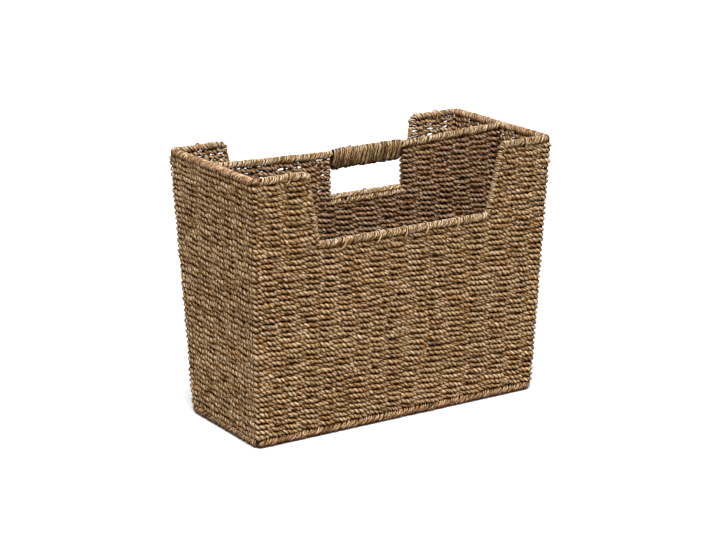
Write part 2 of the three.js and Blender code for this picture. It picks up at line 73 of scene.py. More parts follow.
class Slot(Enum):
    """Material slots, one for each finish."""

    WIRE = "frame_wire"
    WALL = "wall_seagrass"
    INNER = "inner_seagrass"
    RIM = "rim_seagrass"
    END_RIM = "end_rim_seagrass"
    FOOT = "foot_seagrass"
    HANDLE = "handle_seagrass"


# Sizes


@dataclass(frozen=True)
class BasketSize:
    """Where the frame's rods lie, measured between their centre lines.

    Attributes:
        rim_length: Length of the rim.
        rim_depth: Depth of the rim.
        rim_height: Height of the rim.
        length_taper: How much shorter the foot ring is than the rim.
        depth_taper: How much shallower the foot ring is than the rim.
        foot_height: Height of the foot ring.
        weave_foot: Height at which the weave of the walls starts.
        weave_top: Height at which the weave ends.
        notch_floor: Height of a notch's floor.
        notch_half: Half the length of a notch's floor.
        shoulder_x: Half the length of a notch at the rim.
        notch_stakes: Stakes under a notch.
        shoulder_stakes: Stakes on each side of a notch.
        end_stakes: Stakes of an end wall.
        bend: Radius of the rods' bends.
        rim_wrap: Width over a wrapped rod of the rim.
        foot_wrap: Width over the wrapped foot ring.
        hole_left: Left side of the hand hole.
        hole_right: Right side of the hand hole.
        sill: Height of the rod under the hand hole.
        sill_wrap: Width over that rod and its wrap.
        sag: How far the divider's top lies under the rim at the hand hole.
        handle_spacing: Height between the handle's two rods.
        divider_foot: Height at which the weave of the divider starts.
        divider_inset: Distance of the divider's posts from the end walls.
        divider_bay: Distance between the divider's stakes.
    """

    rim_length: float = 373 * MM
    rim_depth: float = 176 * MM
    rim_height: float = 293.5 * MM
    length_taper: float = 19 * MM
    depth_taper: float = 36 * MM
    foot_height: float = 4.8 * MM
    weave_foot: float = 9.9 * MM
    weave_top: float = 289.0 * MM
    notch_floor: float = 216.02 * MM
    notch_half: float = 108.54 * MM
    shoulder_x: float = 123.84 * MM
    notch_stakes: int = 8
    shoulder_stakes: int = 3
    end_stakes: int = 5
    bend: float = 6 * MM
    rim_wrap: float = 8.4 * MM
    foot_wrap: float = 9.6 * MM
    hole_left: float = -47.0 * MM
    hole_right: float = 55.4 * MM
    sill: float = 240.6 * MM
    sill_wrap: float = 5.5 * MM
    sag: float = 5 * MM
    handle_spacing: float = 10.6 * MM
    divider_foot: float = 9.1 * MM
    divider_inset: float = 8.7 * MM
    divider_bay: float = 25.6 * MM

    @property
    def divider_rod(self) -> float:
        """Height of the divider's top rod over the hand hole."""
        return self.rim_height - self.sag

    @property
    def notch_cut(self) -> float:
        """Height under which the courses run round the whole basket."""
        return self.notch_floor - self.rim_wrap / 2

    def rise(self, z: float) -> float:
        """Share of the height between the foot ring and the rim."""
        return (z - self.foot_height) / (self.rim_height - self.foot_height)

    def half_length(self, z: float) -> float:
        """Half the box's length at a height."""
        return (self.rim_length - self.length_taper * (1 - self.rise(z))) / 2

    def half_depth(self, z: float) -> float:
        """Half the box's depth at a height."""
        return (self.rim_depth - self.depth_taper * (1 - self.rise(z))) / 2

    def notch_side(self, z: float) -> float:
        """Distance of a notch's leaning side from the middle, at a height."""
        lean = (self.shoulder_x - self.notch_half) / (self.rim_height - self.notch_floor)
        return self.notch_half + (z - self.notch_floor) * lean

    def divider_top(self, x: np.ndarray) -> np.ndarray:
        """Height of the divider's top rod along the length.

        Args:
            x: Places along the length.

        Returns:
            The height at each of them.
        """
        half = self.rim_length / 2
        stops = [-half, self.hole_left, self.hole_right, half]
        heights = [self.rim_height, self.divider_rod, self.divider_rod, self.rim_height]
        return np.interp(x, stops, heights)

    def long_shares(self) -> np.ndarray:
        """Places of a long wall's stakes in the frame.

        Returns:
            Shares of the wall's half length, from left to right.
        """
        under = bay_middles(-self.notch_half, self.notch_half, self.notch_stakes)
        reach = self.half_length(self.notch_floor)
        bay = (reach - self.notch_half) / (self.shoulder_stakes + 0.5)
        beside = self.notch_half + (np.arange(self.shoulder_stakes) + 0.5) * bay
        return np.concatenate([-beside[::-1], under, beside]) / reach

    def end_shares(self) -> np.ndarray:
        """Places of an end wall's stakes, as shares of its half depth."""
        return 2 * (np.arange(self.end_stakes) + 1) / (self.end_stakes + 1) - 1


# Sums that several parts use


def bay_middles(low: float, high: float, count: int) -> np.ndarray:
    """Middles of equal bays between two places."""
    return low + (np.arange(count) + 0.5) * (high - low) / count


def lengths_passed(points: np.ndarray) -> np.ndarray:
    """Length passed at each point of a line."""
    return np.concatenate([[0.0], np.cumsum(np.linalg.norm(np.diff(points, axis=0), axis=1))])


def unit_rows(rows: np.ndarray) -> np.ndarray:
    """Directions, each made one long."""
    return rows / np.linalg.norm(rows, axis=1)[:, None]


def read_rows(along: np.ndarray, passed: np.ndarray, rows: np.ndarray) -> np.ndarray:
    """Points or directions at lengths along a line whose own lengths passed are given."""
    return np.stack([np.interp(along, passed, rows[:, i]) for i in range(3)], 1)


def ease(share: np.ndarray) -> np.ndarray:
    """Smooth step from 0 to 1."""
    return share * share * (3 - 2 * share)


def eased_interp(place: np.ndarray, values: np.ndarray, closed: bool) -> np.ndarray:
    """Smooth values between whole places.

    Args:
        place: Places to read, where value i stands at place i.
        values: Values at the whole places.
        closed: Whether the last value leads back to the first.

    Returns:
        The values at the given places.
    """
    low = np.floor(place).astype(int)
    share = ease(place - low)
    count = len(values)
    if closed:
        return values[low % count] * (1 - share) + values[(low + 1) % count] * share
    low = np.clip(low, 0, count - 1)
    high = np.clip(low + 1, 0, count - 1)
    return values[low] * (1 - share) + values[high] * share


def shadowed(_: np.ndarray, tone: np.ndarray) -> np.ndarray:
    """Painted shade: darker grass for turns that lie under other turns."""
    return 0.3 * tone


def bleached(_: np.ndarray, tone: np.ndarray) -> np.ndarray:
    """Lighter grass, for fibres that have come loose."""
    return tone + 0.35


# Cords


@dataclass(frozen=True)
class CordSpec:
    """A twisted two-ply cord.

    Attributes:
        radius: Radius over the two plies.
        groove: Radius of the waist between the plies, as a share of the radius.
        twist: Length in which the plies turn once round each other.
        facets: Corners of the section.
        slack: How far the twist strays from an even one, in radians.
        slack_length: Length from one straying of the twist to the next.
    """

    radius: float
    groove: float = 0.66
    twist: float = 12 * MM
    facets: int = 6
    slack: float = 0.6
    slack_length: float = 12 * MM

    def section(self) -> np.ndarray:
        """Works out the section.

        Returns:
            Its corners, one row each.
        """
        angle = 2 * np.pi * np.arange(self.facets) / self.facets
        share = self.groove + (1 - self.groove) * np.cos(angle) ** 2
        return self.radius * share[:, None] * np.stack([np.cos(angle), np.sin(angle)], 1)


@dataclass
class Strand:
    """One length of cord.

    Attributes:
        path: Points along its centre line.
        closed: Whether the last point joins the first.
        swell: Thickness at each point, as a share of the cord's own.
        tone: How light the grass is at each point, 0 to 1.
        hue: How red it is at each point, or below 0 how green, -1 to 1.
        settle: Length over which the twist of a closed cord settles at its joint.
    """

    path: np.ndarray
    closed: bool
    swell: np.ndarray
    tone: Optional[np.ndarray] = None
    hue: Optional[np.ndarray] = None
    settle: float = 10 * MM

    def along(self) -> np.ndarray:
        """Length passed at each point."""
        return lengths_passed(self.path)

    def total(self) -> float:
        """Whole length of the cord."""
        closing = np.linalg.norm(self.path[0] - self.path[-1]) if self.closed else 0.0
        return float(self.along()[-1] + closing)

    def freedom(self) -> np.ndarray:
        """Says how freely the twist may stray.

        Returns:
            1 at each point, but falling to 0 at the joint of a closed cord.
        """
        along = self.along()
        if not self.closed:
            return np.ones(len(along))
        return np.clip(np.minimum(along, along[-1] - along) / self.settle, 0, 1)


@dataclass(frozen=True)
class Mixture:
    """How the grass of a set of cords varies.

    Attributes:
        tone: Middle lightness, 0 to 1.
        tone_spread: Spread of the lightness from cord to cord.
        red: Share of the cord lengths that are reddish.
        green: Share of the cord lengths that are greenish.
        length: Usual length of cord before another one carries on.
        tint: How strong the reddish and greenish lengths are at most, 0 to 1.
        faintest: How strong they are at least, as a share of tint.
        hue_spread: Spread of the hue of all lengths, as a share of tint.
        tone_limits: Lowest and highest lightness.
    """

    tone: float = 0.5
    tone_spread: float = 0.07
    red: float = 0.14
    green: float = 0.14
    length: float = 0.1
    tint: float = 0.2
    faintest: float = 0.2
    hue_spread: float = 0.15
    tone_limits: tuple[float, float] = (0.02, 0.98)

    def draw(
        self, rng: np.random.Generator, along: np.ndarray, total: float
    ) -> tuple[np.ndarray, np.ndarray]:
        """Draws the grass of one strand.

        Args:
            rng: Source of the variation.
            along: Lengths passed at the strand's points.
            total: Length of the strand.

        Returns:
            Tone and hue at each point.
        """
        count = max(2, int(round(total / self.length)))
        tones = np.clip(rng.normal(self.tone, self.tone_spread, count), *self.tone_limits)
        kind = rng.random(count)
        hues = np.where(kind < self.red, 1.0, np.where(kind > 1 - self.green, -1.0, 0.0))
        strength = rng.uniform(self.faintest, 1.0, count)
        hues = self.tint * (hues * strength + rng.normal(0, self.hue_spread, count))
        place = along / total * count + rng.uniform(0, count)
        return eased_interp(place, tones, True), eased_interp(place, hues, True)


class CordBundle:
    """Strands of one kind of cord that make one piece.

    Attributes:
        SLACK_VALUES: Different strayings of the twist before they repeat.
        FARTHEST_START: Farthest place in the pattern of the grass at which a cord starts.
    """

    SLACK_VALUES = 64
    FARTHEST_START = 50.0

    def __init__(self, name: str, spec: CordSpec, mixture: Mixture, rng: np.random.Generator) -> None:
        """Starts an empty bundle.

        Args:
            name: Name of the piece.
            spec: Kind of cord.
            mixture: How its grass varies.
            rng: Source of the variation.
        """
        self.name = name
        self.spec = spec
        self.mixture = mixture
        self.rng = rng
        self.strands: list[Strand] = []

    def add(
        self,
        path: np.ndarray,
        closed: bool = False,
        swell: float | np.ndarray = 1.0,
        tint: Optional[Tint] = None,
    ) -> None:
        """Adds one length of cord.

        Args:
            path: Points along its centre line.
            closed: Whether its ends meet.
            swell: Thickness as a share of the cord's own, for the whole or for each point.
            tint: Changes the tones of given points, if any.
        """
        strand = Strand(path, closed, np.broadcast_to(swell, len(path)).astype(float))
        strand.tone, strand.hue = self.mixture.draw(self.rng, strand.along(), strand.total())
        if tint is not None:
            strand.tone = tint(path, strand.tone)
        self.strands.append(strand)

    def build(self) -> bpy.types.Object:
        """Sweeps the section along every strand.

        Returns:
            The piece, a closed mesh with the attributes tone, hue and cord.
        """
        section = self.spec.section()
        profile = self._profile(section)
        curve = bpy.data.curves.new(self.name, "CURVE")
        curve.dimensions = "3D"
        curve.twist_mode = "MINIMUM"
        curve.bevel_mode = "OBJECT"
        curve.bevel_object = profile
        curve.use_fill_caps = True
        for strand in self.strands:
            self._spline(curve, strand)
        swept = bpy.data.objects.new(self.name, curve)
        bpy.context.scene.collection.objects.link(swept)
        graph = bpy.context.evaluated_depsgraph_get()
        mesh = bpy.data.meshes.new_from_object(swept.evaluated_get(graph), depsgraph=graph)
        bpy.data.objects.remove(swept)
        bpy.data.objects.remove(profile)
        self._attributes(mesh, section)
        mesh.polygons.foreach_set("use_smooth", [True] * len(mesh.polygons))
        mesh.name = self.name
        piece = bpy.data.objects.new(self.name, mesh)
        bpy.context.scene.collection.objects.link(piece)
        return piece

    @staticmethod
    def _profile(section: np.ndarray) -> bpy.types.Object:
        """Makes the section a closed flat curve.

        Args:
            section: Corners of the section.

        Returns:
            The curve's object.
        """
        curve = bpy.data.curves.new("section", "CURVE")
        curve.dimensions = "2D"
        spline = curve.splines.new("POLY")
        spline.points.add(len(section) - 1)
        rows = np.zeros((len(section), 4))
        rows[:, :2] = section
        rows[:, 3] = 1
        spline.points.foreach_set("co", rows.ravel())
        spline.use_cyclic_u = True
        profile = bpy.data.objects.new("section", curve)
        bpy.context.scene.collection.objects.link(profile)
        return profile

    def _spline(self, curve: bpy.types.Curve, strand: Strand) -> None:
        """Adds a strand's centre line to a curve, with its twist.

        Args:
            curve: Curve that takes it.
            strand: The strand.
        """
        count = len(strand.path)
        spline = curve.splines.new("POLY")
        spline.points.add(count - 1)
        rows = np.ones((count, 4))
        rows[:, :3] = strand.path
        spline.points.foreach_set("co", rows.ravel())
        turns = strand.total() / self.spec.twist
        if strand.closed:
            turns = round(turns)
        strays = self.rng.normal(0, self.spec.slack, self.SLACK_VALUES)
        slack = eased_interp(strand.along() / self.spec.slack_length, strays, True)
        tilt = 2 * np.pi * turns * strand.along() / strand.total() + slack * strand.freedom()
        spline.points.foreach_set("tilt", tilt)
        spline.points.foreach_set("radius", strand.swell)
        spline.use_cyclic_u = strand.closed

    def _attributes(self, mesh: bpy.types.Mesh, section: np.ndarray) -> None:
        """Writes tone, hue and the place on the cord at every vertex.

        The swept mesh starts with the caps, those of the last open strand ahead, and each strand's
        rings follow.

        Args:
            mesh: The swept mesh.
            section: Corners of the section.
        """
        rings = []
        for strand in self.strands:
            along = strand.along() + self.rng.uniform(0, self.FARTHEST_START)
            rings.append(np.stack([along, strand.tone, strand.hue], 1))
        caps = []
        for strand, ring in zip(self.strands, rings):
            if not strand.closed:
                caps = [ring[-1:], ring[:1]] + caps
        values = np.repeat(np.concatenate(caps + rings), len(section), axis=0)
        if len(values) != len(mesh.vertices):
            raise RuntimeError(f"{self.name}: {len(mesh.vertices)} vertices, {len(values)} values")
        around = np.tile(section, (len(values) // len(section), 1))
        cord = np.concatenate([values[:, :1], around], axis=1)
        mesh.attributes.new("cord", "FLOAT_VECTOR", "POINT").data.foreach_set("vector", cord.ravel())
        for column, name in ((1, "tone"), (2, "hue")):
            attribute = mesh.attributes.new(name, "FLOAT", "POINT")
            attribute.data.foreach_set("value", values[:, column].copy())


# Rods


class RodLine:
    """Centre line of a rod: straight runs with rounded corners, cut into short steps.

    Attributes:
        BEND_POINTS: Points that shape one rounded corner.
    """

    BEND_POINTS = 9

    def __init__(self, corners: Sequence[Point], bend: float, step: float = 0.8 * MM) -> None:
        """Draws the line.

        Args:
            corners: Ends of its straight runs.
            bend: Radius of its corners.
            step: Usual length of a step.
        """
        rough = self._rounded([np.array(corner, float) for corner in corners], bend)
        passed = lengths_passed(rough)
        self.length = float(passed[-1])
        self.along = np.linspace(0, self.length, max(2, int(round(self.length / step)) + 1))
        self.points = read_rows(self.along, passed, rough)
        self.tangent = unit_rows(np.gradient(self.points, axis=0))

    def _rounded(self, corners: list[np.ndarray], bend: float) -> np.ndarray:
        """Rounds the corners between the first and the last.

        Args:
            corners: Ends of the straight runs.
            bend: Radius of the corners.

        Returns:
            Points along the rounded line.
        """
        share = np.linspace(0, 1, self.BEND_POINTS)[:, None]
        stops = [corners[0]]
        for before, here, after in zip(corners, corners[1:], corners[2:]):
            arriving = (here - before) / np.linalg.norm(here - before)
            leaving = (after - here) / np.linalg.norm(after - here)
            reach = bend * math.tan(math.acos(np.clip(arriving @ leaving, -1, 1)) / 2)
            start, end = here - arriving * reach, here + leaving * reach
            stops.extend((1 - share) ** 2 * start + 2 * share * (1 - share) * here + share**2 * end)
        stops.append(corners[-1])
        return np.array(stops)

    def read(self, along: np.ndarray, side: np.ndarray) -> tuple[np.ndarray, np.ndarray, np.ndarray]:
        """Reads the line at lengths passed.

        Args:
            along: Lengths passed.
            side: Direction that the first cross axis keeps closest to.

        Returns:
            Points, and the two cross axes there.
        """
        tangent = unit_rows(read_rows(along, self.along, self.tangent))
        first = unit_rows(side - (tangent @ side)[:, None] * tangent)
        return read_rows(along, self.along, self.points), first, np.cross(tangent, first)


@dataclass(frozen=True)
class Wrapping:
    """Cord wrapped round a rod in close turns.

    Attributes:
        outside: Width over the wrapped cord.
        pitch: Distance from one turn to the next.
        unevenness: How far turns stray along the rod, as a share of the pitch.
        slack: How far turns stand off the rod, as a share of the cord's radius.
        steps: Steps in one turn.
        lean: How far the top of a turn lies to the right of its foot, seen from outside.
    """

    outside: float
    pitch: float
    unevenness: float = 0.22
    slack: float = 0.12
    steps: int = 14
    lean: float = 0.0

    def path(
        self,
        line: RodLine,
        side: np.ndarray,
        facing: np.ndarray,
        radius: float,
        rng: np.random.Generator,
    ) -> np.ndarray:
        """Centre line of the cord.

        Args:
            line: Centre line of the rod.
            side: Direction that the turns start from, square to the whole rod.
            facing: Direction that the rod's run is seen from.
            radius: Radius of the cord.
            rng: Source of the unevenness.

        Returns:
            Points along the cord.
        """
        turns = max(1, int(round(line.length / self.pitch)))
        place = np.linspace(0, turns, turns * self.steps + 1)
        stray = eased_interp(place, rng.normal(0, self.unevenness, turns + 2), False)
        lift = eased_interp(place * 2, rng.normal(0, self.slack, 2 * turns + 2), False)
        along = np.clip((place + stray) / turns, 0, 1) * line.length
        angle = (2 * np.pi * place)[:, None]
        _, first, second = line.read(along, side)
        height = (np.cos(angle) * first + np.sin(angle) * second)[:, 2]
        rightwards = np.cross(first, second) @ np.cross(UP, facing)
        along = np.clip(along + self.lean / 2 * height * rightwards, 0, line.length)
        middle, first, second = line.read(along, side)
        reach = (self.outside / 2 - radius + lift * radius)[:, None]
        return middle + reach * (np.cos(angle) * first + np.sin(angle) * second)


# Twined courses


@dataclass(frozen=True)
class Twining:
    """How the two cords of a course pass the stakes.

    Attributes:
        reach: Distance of a cord from the wall's middle where it passes a stake.
        rise: Height of a cord over the course's middle where the two cross.
        post_swell: How much further out a cord passes a post than a stake, as a share.
        post_grip: How much less a course strays at a post, as a share.
        hug: Below 1, cords stay out longer beside a stake and cross faster between.
        level: Above 1, cords run more level past a stake and drop faster between.
        stagger: Angle by which the outer cord runs lower past a stake than the inner one.
        drift: How far crossings stray from the middle between stakes, in bays.
        waviness: How far courses stray up and down.
        step: Longest step along a cord.
        fewest_steps: Fewest steps between two stations.
        blend: Distance from a post over which a cord turns the corner.
    """

    reach: float = 1.5 * MM
    rise: float = 1.3 * MM
    post_swell: float = 0.14
    post_grip: float = 0.7
    hug: float = 0.9
    level: float = 1.05
    stagger: float = 0.12
    drift: float = 0.23
    waviness: float = 0.5 * MM
    step: float = 1.6 * MM
    fewest_steps: int = 6
    blend: float = 5 * MM


@dataclass(frozen=True)
class Station:
    """A place that a course passes, on the middle of its wall.

    Attributes:
        place: Where it is.
        outward: Which way the wall faces from this station to the next.
        post: Whether a frame rod stands here, rather than a stake.
    """

    place: Point
    outward: Point
    post: bool = False


class Track:
    """Samples along one course: where its wall is, which way it faces, and the stations passed.

    Attributes:
        FOLD_POINTS: Points that shape a fold, with its ends.
    """

    FOLD_POINTS = 8

    def __init__(self, stations: Sequence[Station], closed: bool, twining: Twining) -> None:
        """Samples the way between the stations.

        Args:
            stations: Stations that the course passes, in order.
            closed: Whether the last station leads back to the first.
            twining: How the cords pass them.
        """
        places = np.array([s.place for s in stations], float)
        facing = np.array([s.outward for s in stations], float)
        posts = np.array([s.post for s in stations], float)
        count = len(stations)
        base, outward, phase, near = [], [], [], []
        for i in range(count if closed else count - 1):
            j = (i + 1) % count
            length = np.linalg.norm(places[j] - places[i])
            steps = max(twining.fewest_steps, int(np.ceil(length / twining.step)))
            share = np.arange(steps) / steps
            before = facing[i - 1] if closed or i > 0 else facing[i]
            after = facing[j] if closed or j < count - 1 else facing[i]
            at_start = np.clip(1 - share * length / twining.blend, 0, 1)
            at_end = np.clip(1 - (1 - share) * length / twining.blend, 0, 1)
            turned = facing[i] + ease(at_start)[:, None] * before + ease(at_end)[:, None] * after
            base.append(places[i] + share[:, None] * (places[j] - places[i]))
            outward.append(unit_rows(turned))
            phase.append(i + share)
            near.append(np.maximum(at_start * posts[i], at_end * posts[j]))
        if not closed:
            base.append(places[-1:])
            outward.append(outward[-1][-1:])
            phase.append(np.array([count - 1.0]))
            near.append(posts[-1:])
        self.stations = count
        self.closed = closed
        self.twining = twining
        self.base = np.concatenate(base)
        self.outward = np.concatenate(outward)
        self.phase = np.concatenate(phase)
        self.near = np.concatenate(near)

    def cords(self, rise_axis: np.ndarray, drift: np.ndarray, waves: np.ndarray) -> list[np.ndarray]:
        """Centre lines of the course's two cords.

        Args:
            rise_axis: Direction across the course within its wall.
            drift: How far the crossings stray at each station, in bays.
            waves: How far the course strays across itself at each station.

        Returns:
            The two centre lines, from the first station to the last.
        """
        twining = self.twining
        loose = 1 - twining.post_grip * self.near
        turned = np.pi * (self.phase + loose * eased_interp(self.phase, drift, self.closed))
        reach = twining.reach * (1 + twining.post_swell * self.near)
        lift = loose * eased_interp(self.phase, waves, self.closed)
        paths = []
        for start in (0.0, np.pi):
            cosine = np.cos(turned + start)
            out = reach * np.sign(cosine) * np.abs(cosine) ** twining.hug
            sine = np.sin(turned + start + twining.stagger)
            across = lift - twining.rise * np.sign(sine) * np.abs(sine) ** twining.level
            paths.append(self.base + out[:, None] * self.outward + across[:, None] * rise_axis)
        return paths

    def folded(
        self, paths: Sequence[np.ndarray], open_start: np.ndarray, open_end: np.ndarray
    ) -> np.ndarray:
        """One closed cord from a course's two, folded round the rods at its ends.

        Args:
            paths: The two centre lines.
            open_start: Direction out of the course at its first station. Its length says how far
                the fold stands out.
            open_end: The same at its last station.

        Returns:
            The closed centre line.
        """
        there, back = paths[0], paths[1][::-1]
        end_fold = self._fold(there[-1], back[0], open_end)
        start_fold = self._fold(back[-1], there[0], open_start)
        return np.concatenate([there, end_fold, back, start_fold])

    def _fold(self, start: np.ndarray, end: np.ndarray, outward: np.ndarray) -> np.ndarray:
        """Half turn from one point to another.

        Args:
            start: First point.
            end: Second point.
            outward: Direction that the turn goes through.

        Returns:
            Points between the two.
        """
        middle, arm = (start + end) / 2, (start - end) / 2
        angle = np.linspace(0, np.pi, self.FOLD_POINTS)[1:-1, None]
        return middle + np.cos(angle) * arm + np.sin(angle) * outward * np.linalg.norm(arm)


class Unevenness:
    """Straying of neighbouring courses, which partly follow one another."""

    def __init__(self, twining: Twining, rng: np.random.Generator, follow: float = 0.75) -> None:
        """Starts with the first course.

        Args:
            twining: How far the courses stray.
            rng: Source of the straying.
            follow: How closely the crossings of a course follow those of the one before, 0 to 1.
        """
        self.twining = twining
        self.rng = rng
        self.follow = follow
        self.last: Optional[np.ndarray] = None

    def next(self, stations: int) -> tuple[np.ndarray, np.ndarray]:
        """Goes on to the next course.

        Args:
            stations: How many stations it passes.

        Returns:
            Drift and waves at each of its stations.
        """
        fresh = self.rng.normal(0, 1, stations)
        if self.last is not None and len(self.last) == stations:
            fresh = self.follow * self.last + math.sqrt(1 - self.follow**2) * fresh
        self.last = fresh
        waves = self.rng.normal(0, self.twining.waviness, stations)
        return fresh * self.twining.drift, waves


# Woven parts


@dataclass
class WovenPart:
    """Base of the parts that are made of cord.

    Attributes:
        size: Sizes of the basket.
        rng: Source of the unevenness.
    """

    size: BasketSize
    rng: np.random.Generator

    def _fibre(self, foot: np.ndarray, outward: np.ndarray, longest: float) -> np.ndarray:
        """Centre line of a fibre that has come loose.

        Args:
            foot: Where it leaves the cord.
            outward: Which way the surface faces there.
            longest: Greatest length.

        Returns:
            Points along the fibre.
        """
        shortest_share, mostly_level, lowest = 0.35, (1, 1, 0.6), 1 * MM
        along = self.rng.normal(0, 1, 3) * mostly_level
        along -= (along @ outward) * outward
        along = along / np.linalg.norm(along) + outward * self.rng.uniform(0.1, 0.8)
        bend = self.rng.normal(0, 0.5, 3) - 0.3 * outward
        share = np.linspace(0, 1, 7)[:, None]
        length = self.rng.uniform(shortest_share, 1) * longest
        path = foot + length * (share * along / np.linalg.norm(along) + share**2 * bend)
        path[:, 2] = np.maximum(path[:, 2], lowest)
        return path


@dataclass
class WallWeave(WovenPart):
    """The four woven walls, whose courses run round the whole basket below the notches.

    Attributes:
        cord: Cord of the courses.
        mixture: Grass of the cord.
        twining: How the cords pass the stakes.
        front_stakes: Places of the front wall's stakes, as shares of its half length.
        left_stakes: Places of the left end's stakes, as shares of its half depth.
        back_spread: Straying of the back wall's stakes, as a share of its half length.
        end_spread: Straying of the right end's stakes, as a share of its half depth.
        tuck: How far the top course reaches into the rim.
        gap: Distance of the courses from a notch's side.
        low_gap: The same beside the lower corners of a notch, which are rounded.
        stake_gap: Least distance of a stake from the end of a course beside a notch.
        thickness_spread: Straying of a cord's thickness, as a share.
        post_girth: How much fuller the cords are round a post, as a share.
        girth_start: Distance from a post at which they start to be thinner.
        girth_fade: Length over which they get thinner.
        corner_share: Share of half a side beyond which loose fibres face outwards.
        loose: Chance of a loose fibre at each step along a cord.
        fibre_length: Greatest length of a loose fibre.
        fibre_girth: Least and greatest thickness of one, as a share of the cord's.
        low_courses: Courses below the notches.
        high_courses: Courses beside the notches.
        courses_per_band: Courses that make one piece.
        stakes: Places of every wall's stakes, in the order that a course passes them.
    """

    cord: CordSpec = CordSpec(2.75 * MM)
    mixture: Mixture = Mixture()
    twining: Twining = Twining()
    front_stakes: tuple[float, ...] = (
        -0.882, -0.777, -0.645, -0.529, -0.41, -0.298, -0.174, -0.051, 0.097, 0.24, 0.376, 0.537, 0.704, 0.855
    )
    left_stakes: tuple[float, ...] = (-0.68, -0.27, 0.09, 0.41, 0.67)
    back_spread: float = 0.014
    end_spread: float = 0.03
    tuck: float = 1.4 * MM
    gap: float = 1.2 * MM
    low_gap: float = 5.5 * MM
    stake_gap: float = 7 * MM
    thickness_spread: float = 0.12
    post_girth: float = 0.16
    girth_start: float = 2 * MM
    girth_fade: float = 7 * MM
    corner_share: float = 0.97
    loose: float = 0.005
    fibre_length: float = 14 * MM
    fibre_girth: tuple[float, float] = (0.06, 0.13)
    low_courses: int = 33
    high_courses: int = 13
    courses_per_band: int = 8
    stakes: dict[Wall, np.ndarray] = field(init=False)

    def __post_init__(self) -> None:
        """Places the stakes."""
        long, end = self.size.long_shares(), self.size.end_shares()
        self.stakes = {
            (0, -1): np.array(self.front_stakes),
            (1, 0): end + self.rng.normal(0, self.end_spread, len(end)),
            (0, 1): -(long + self.rng.normal(0, self.back_spread, len(long)))[::-1],
            (-1, 0): np.array(self.left_stakes),
        }

    def heights(self) -> np.ndarray:
        """Shares out the height among the courses.

        Returns:
            Heights of their middles, from the foot up.
        """
        low = bay_middles(self.size.weave_foot, self.size.notch_cut, self.low_courses)
        high = bay_middles(self.size.notch_cut, self.size.weave_top + self.tuck, self.high_courses)
        return np.concatenate([low, high])

    def run(self, outward: Wall, z: float) -> list[Point]:
        """Places of one wall's stakes at a height.

        Args:
            outward: Which way the wall faces.
            z: The height.

        Returns:
            The places, in the order that a course passes them.
        """
        x, y = outward
        half_length, half_depth = self.size.half_length(z), self.size.half_depth(z)
        if y:
            return [(-y * share * half_length, y * half_depth, z) for share in self.stakes[outward]]
        return [(x * half_length, x * share * half_depth, z) for share in self.stakes[outward]]

    @staticmethod
    def stations(outward: Wall, post: Point, stakes: Sequence[Point]) -> list[Station]:
        """Stations of a course along one wall.

        Args:
            outward: Which way the wall faces.
            post: Place of the post that comes first.
            stakes: Places of the stakes after it.

        Returns:
            The post and the stakes.
        """
        facing = (*outward, 0)
        return [Station(post, facing, True), *(Station(stake, facing) for stake in stakes)]

    def ring(self, z: float) -> list[Station]:
        """Stations of a course that runs round the whole basket.

        Args:
            z: Height of the course.

        Returns:
            The stations, from the front left post.
        """
        half_length, half_depth = self.size.half_length(z), self.size.half_depth(z)
        made = []
        for x, y, outward in ((-1, -1, (0, -1)), (1, -1, (1, 0)), (1, 1, (0, 1)), (-1, 1, (-1, 0))):
            post = (x * half_length, y * half_depth, z)
            made.extend(self.stations(outward, post, self.run(outward, z)))
        return made

    def side(self, z: float, sign: int) -> list[Station]:
        """Stations of a course that runs round one end, from one notch to the other.

        Args:
            z: Height of the course.
            sign: -1 for the left end, 1 for the right one.

        Returns:
            The stations.
        """
        half_length, half_depth = self.size.half_length(z), self.size.half_depth(z)
        low_turn = self.size.notch_floor + self.size.bend
        gap = self.low_gap if z < low_turn else self.gap
        turn = self.size.notch_side(max(z, low_turn)) + gap
        made = []
        walls = ((turn, -1, (0, -sign)), (half_length, -1, (sign, 0)), (half_length, 1, (0, sign)))
        for x, y, outward in walls:
            beside = [place for place in self.run(outward, z) if sign * place[0] > turn + self.stake_gap]
            made.extend(self.stations(outward, (sign * x, sign * y * half_depth, z), beside))
        return made + self.stations((0, sign), (sign * turn, sign * half_depth, z), ())

    def bands(self) -> list[CordBundle]:
        """Weaves the walls as bands of courses.

        Returns:
            The bands, each one piece, from the foot up.
        """
        heights = self.heights()
        uneven = {part: Unevenness(self.twining, self.rng) for part in (0, -1, 1)}
        made = []
        for first in range(0, len(heights), self.courses_per_band):
            bundle = CordBundle(f"wall_courses_{len(made) + 1}", self.cord, self.mixture, self.rng)
            for z in heights[first : first + self.courses_per_band]:
                if z < self.size.notch_cut:
                    self._whole_course(bundle, z, uneven[0])
                else:
                    self._side_course(bundle, z, -1, uneven[-1])
                    self._side_course(bundle, z, 1, uneven[1])
            self._shed(bundle)
            made.append(bundle)
        return made

    def _whole_course(self, bundle: CordBundle, z: float, uneven: Unevenness) -> None:
        """Adds a course that runs round the whole basket.

        Args:
            bundle: Bundle that takes it.
            z: Height of the course.
            uneven: Straying of these courses.
        """
        track = Track(self.ring(z), True, self.twining)
        for path in track.cords(UP, *uneven.next(track.stations)):
            bundle.add(path, closed=True, swell=self._swell(path))

    def _side_course(self, bundle: CordBundle, z: float, sign: int, uneven: Unevenness) -> None:
        """Adds a course that runs round one end and folds at the notches.

        Args:
            bundle: Bundle that takes it.
            z: Height of the course.
            sign: -1 for the left end, 1 for the right one.
            uneven: Straying of these courses.
        """
        track = Track(self.side(z, sign), False, self.twining)
        paths = track.cords(UP, *uneven.next(track.stations))
        inwards = -sign * LENGTHWAYS
        path = track.folded(paths, inwards, inwards)
        bundle.add(path, closed=True, swell=self._swell(path))

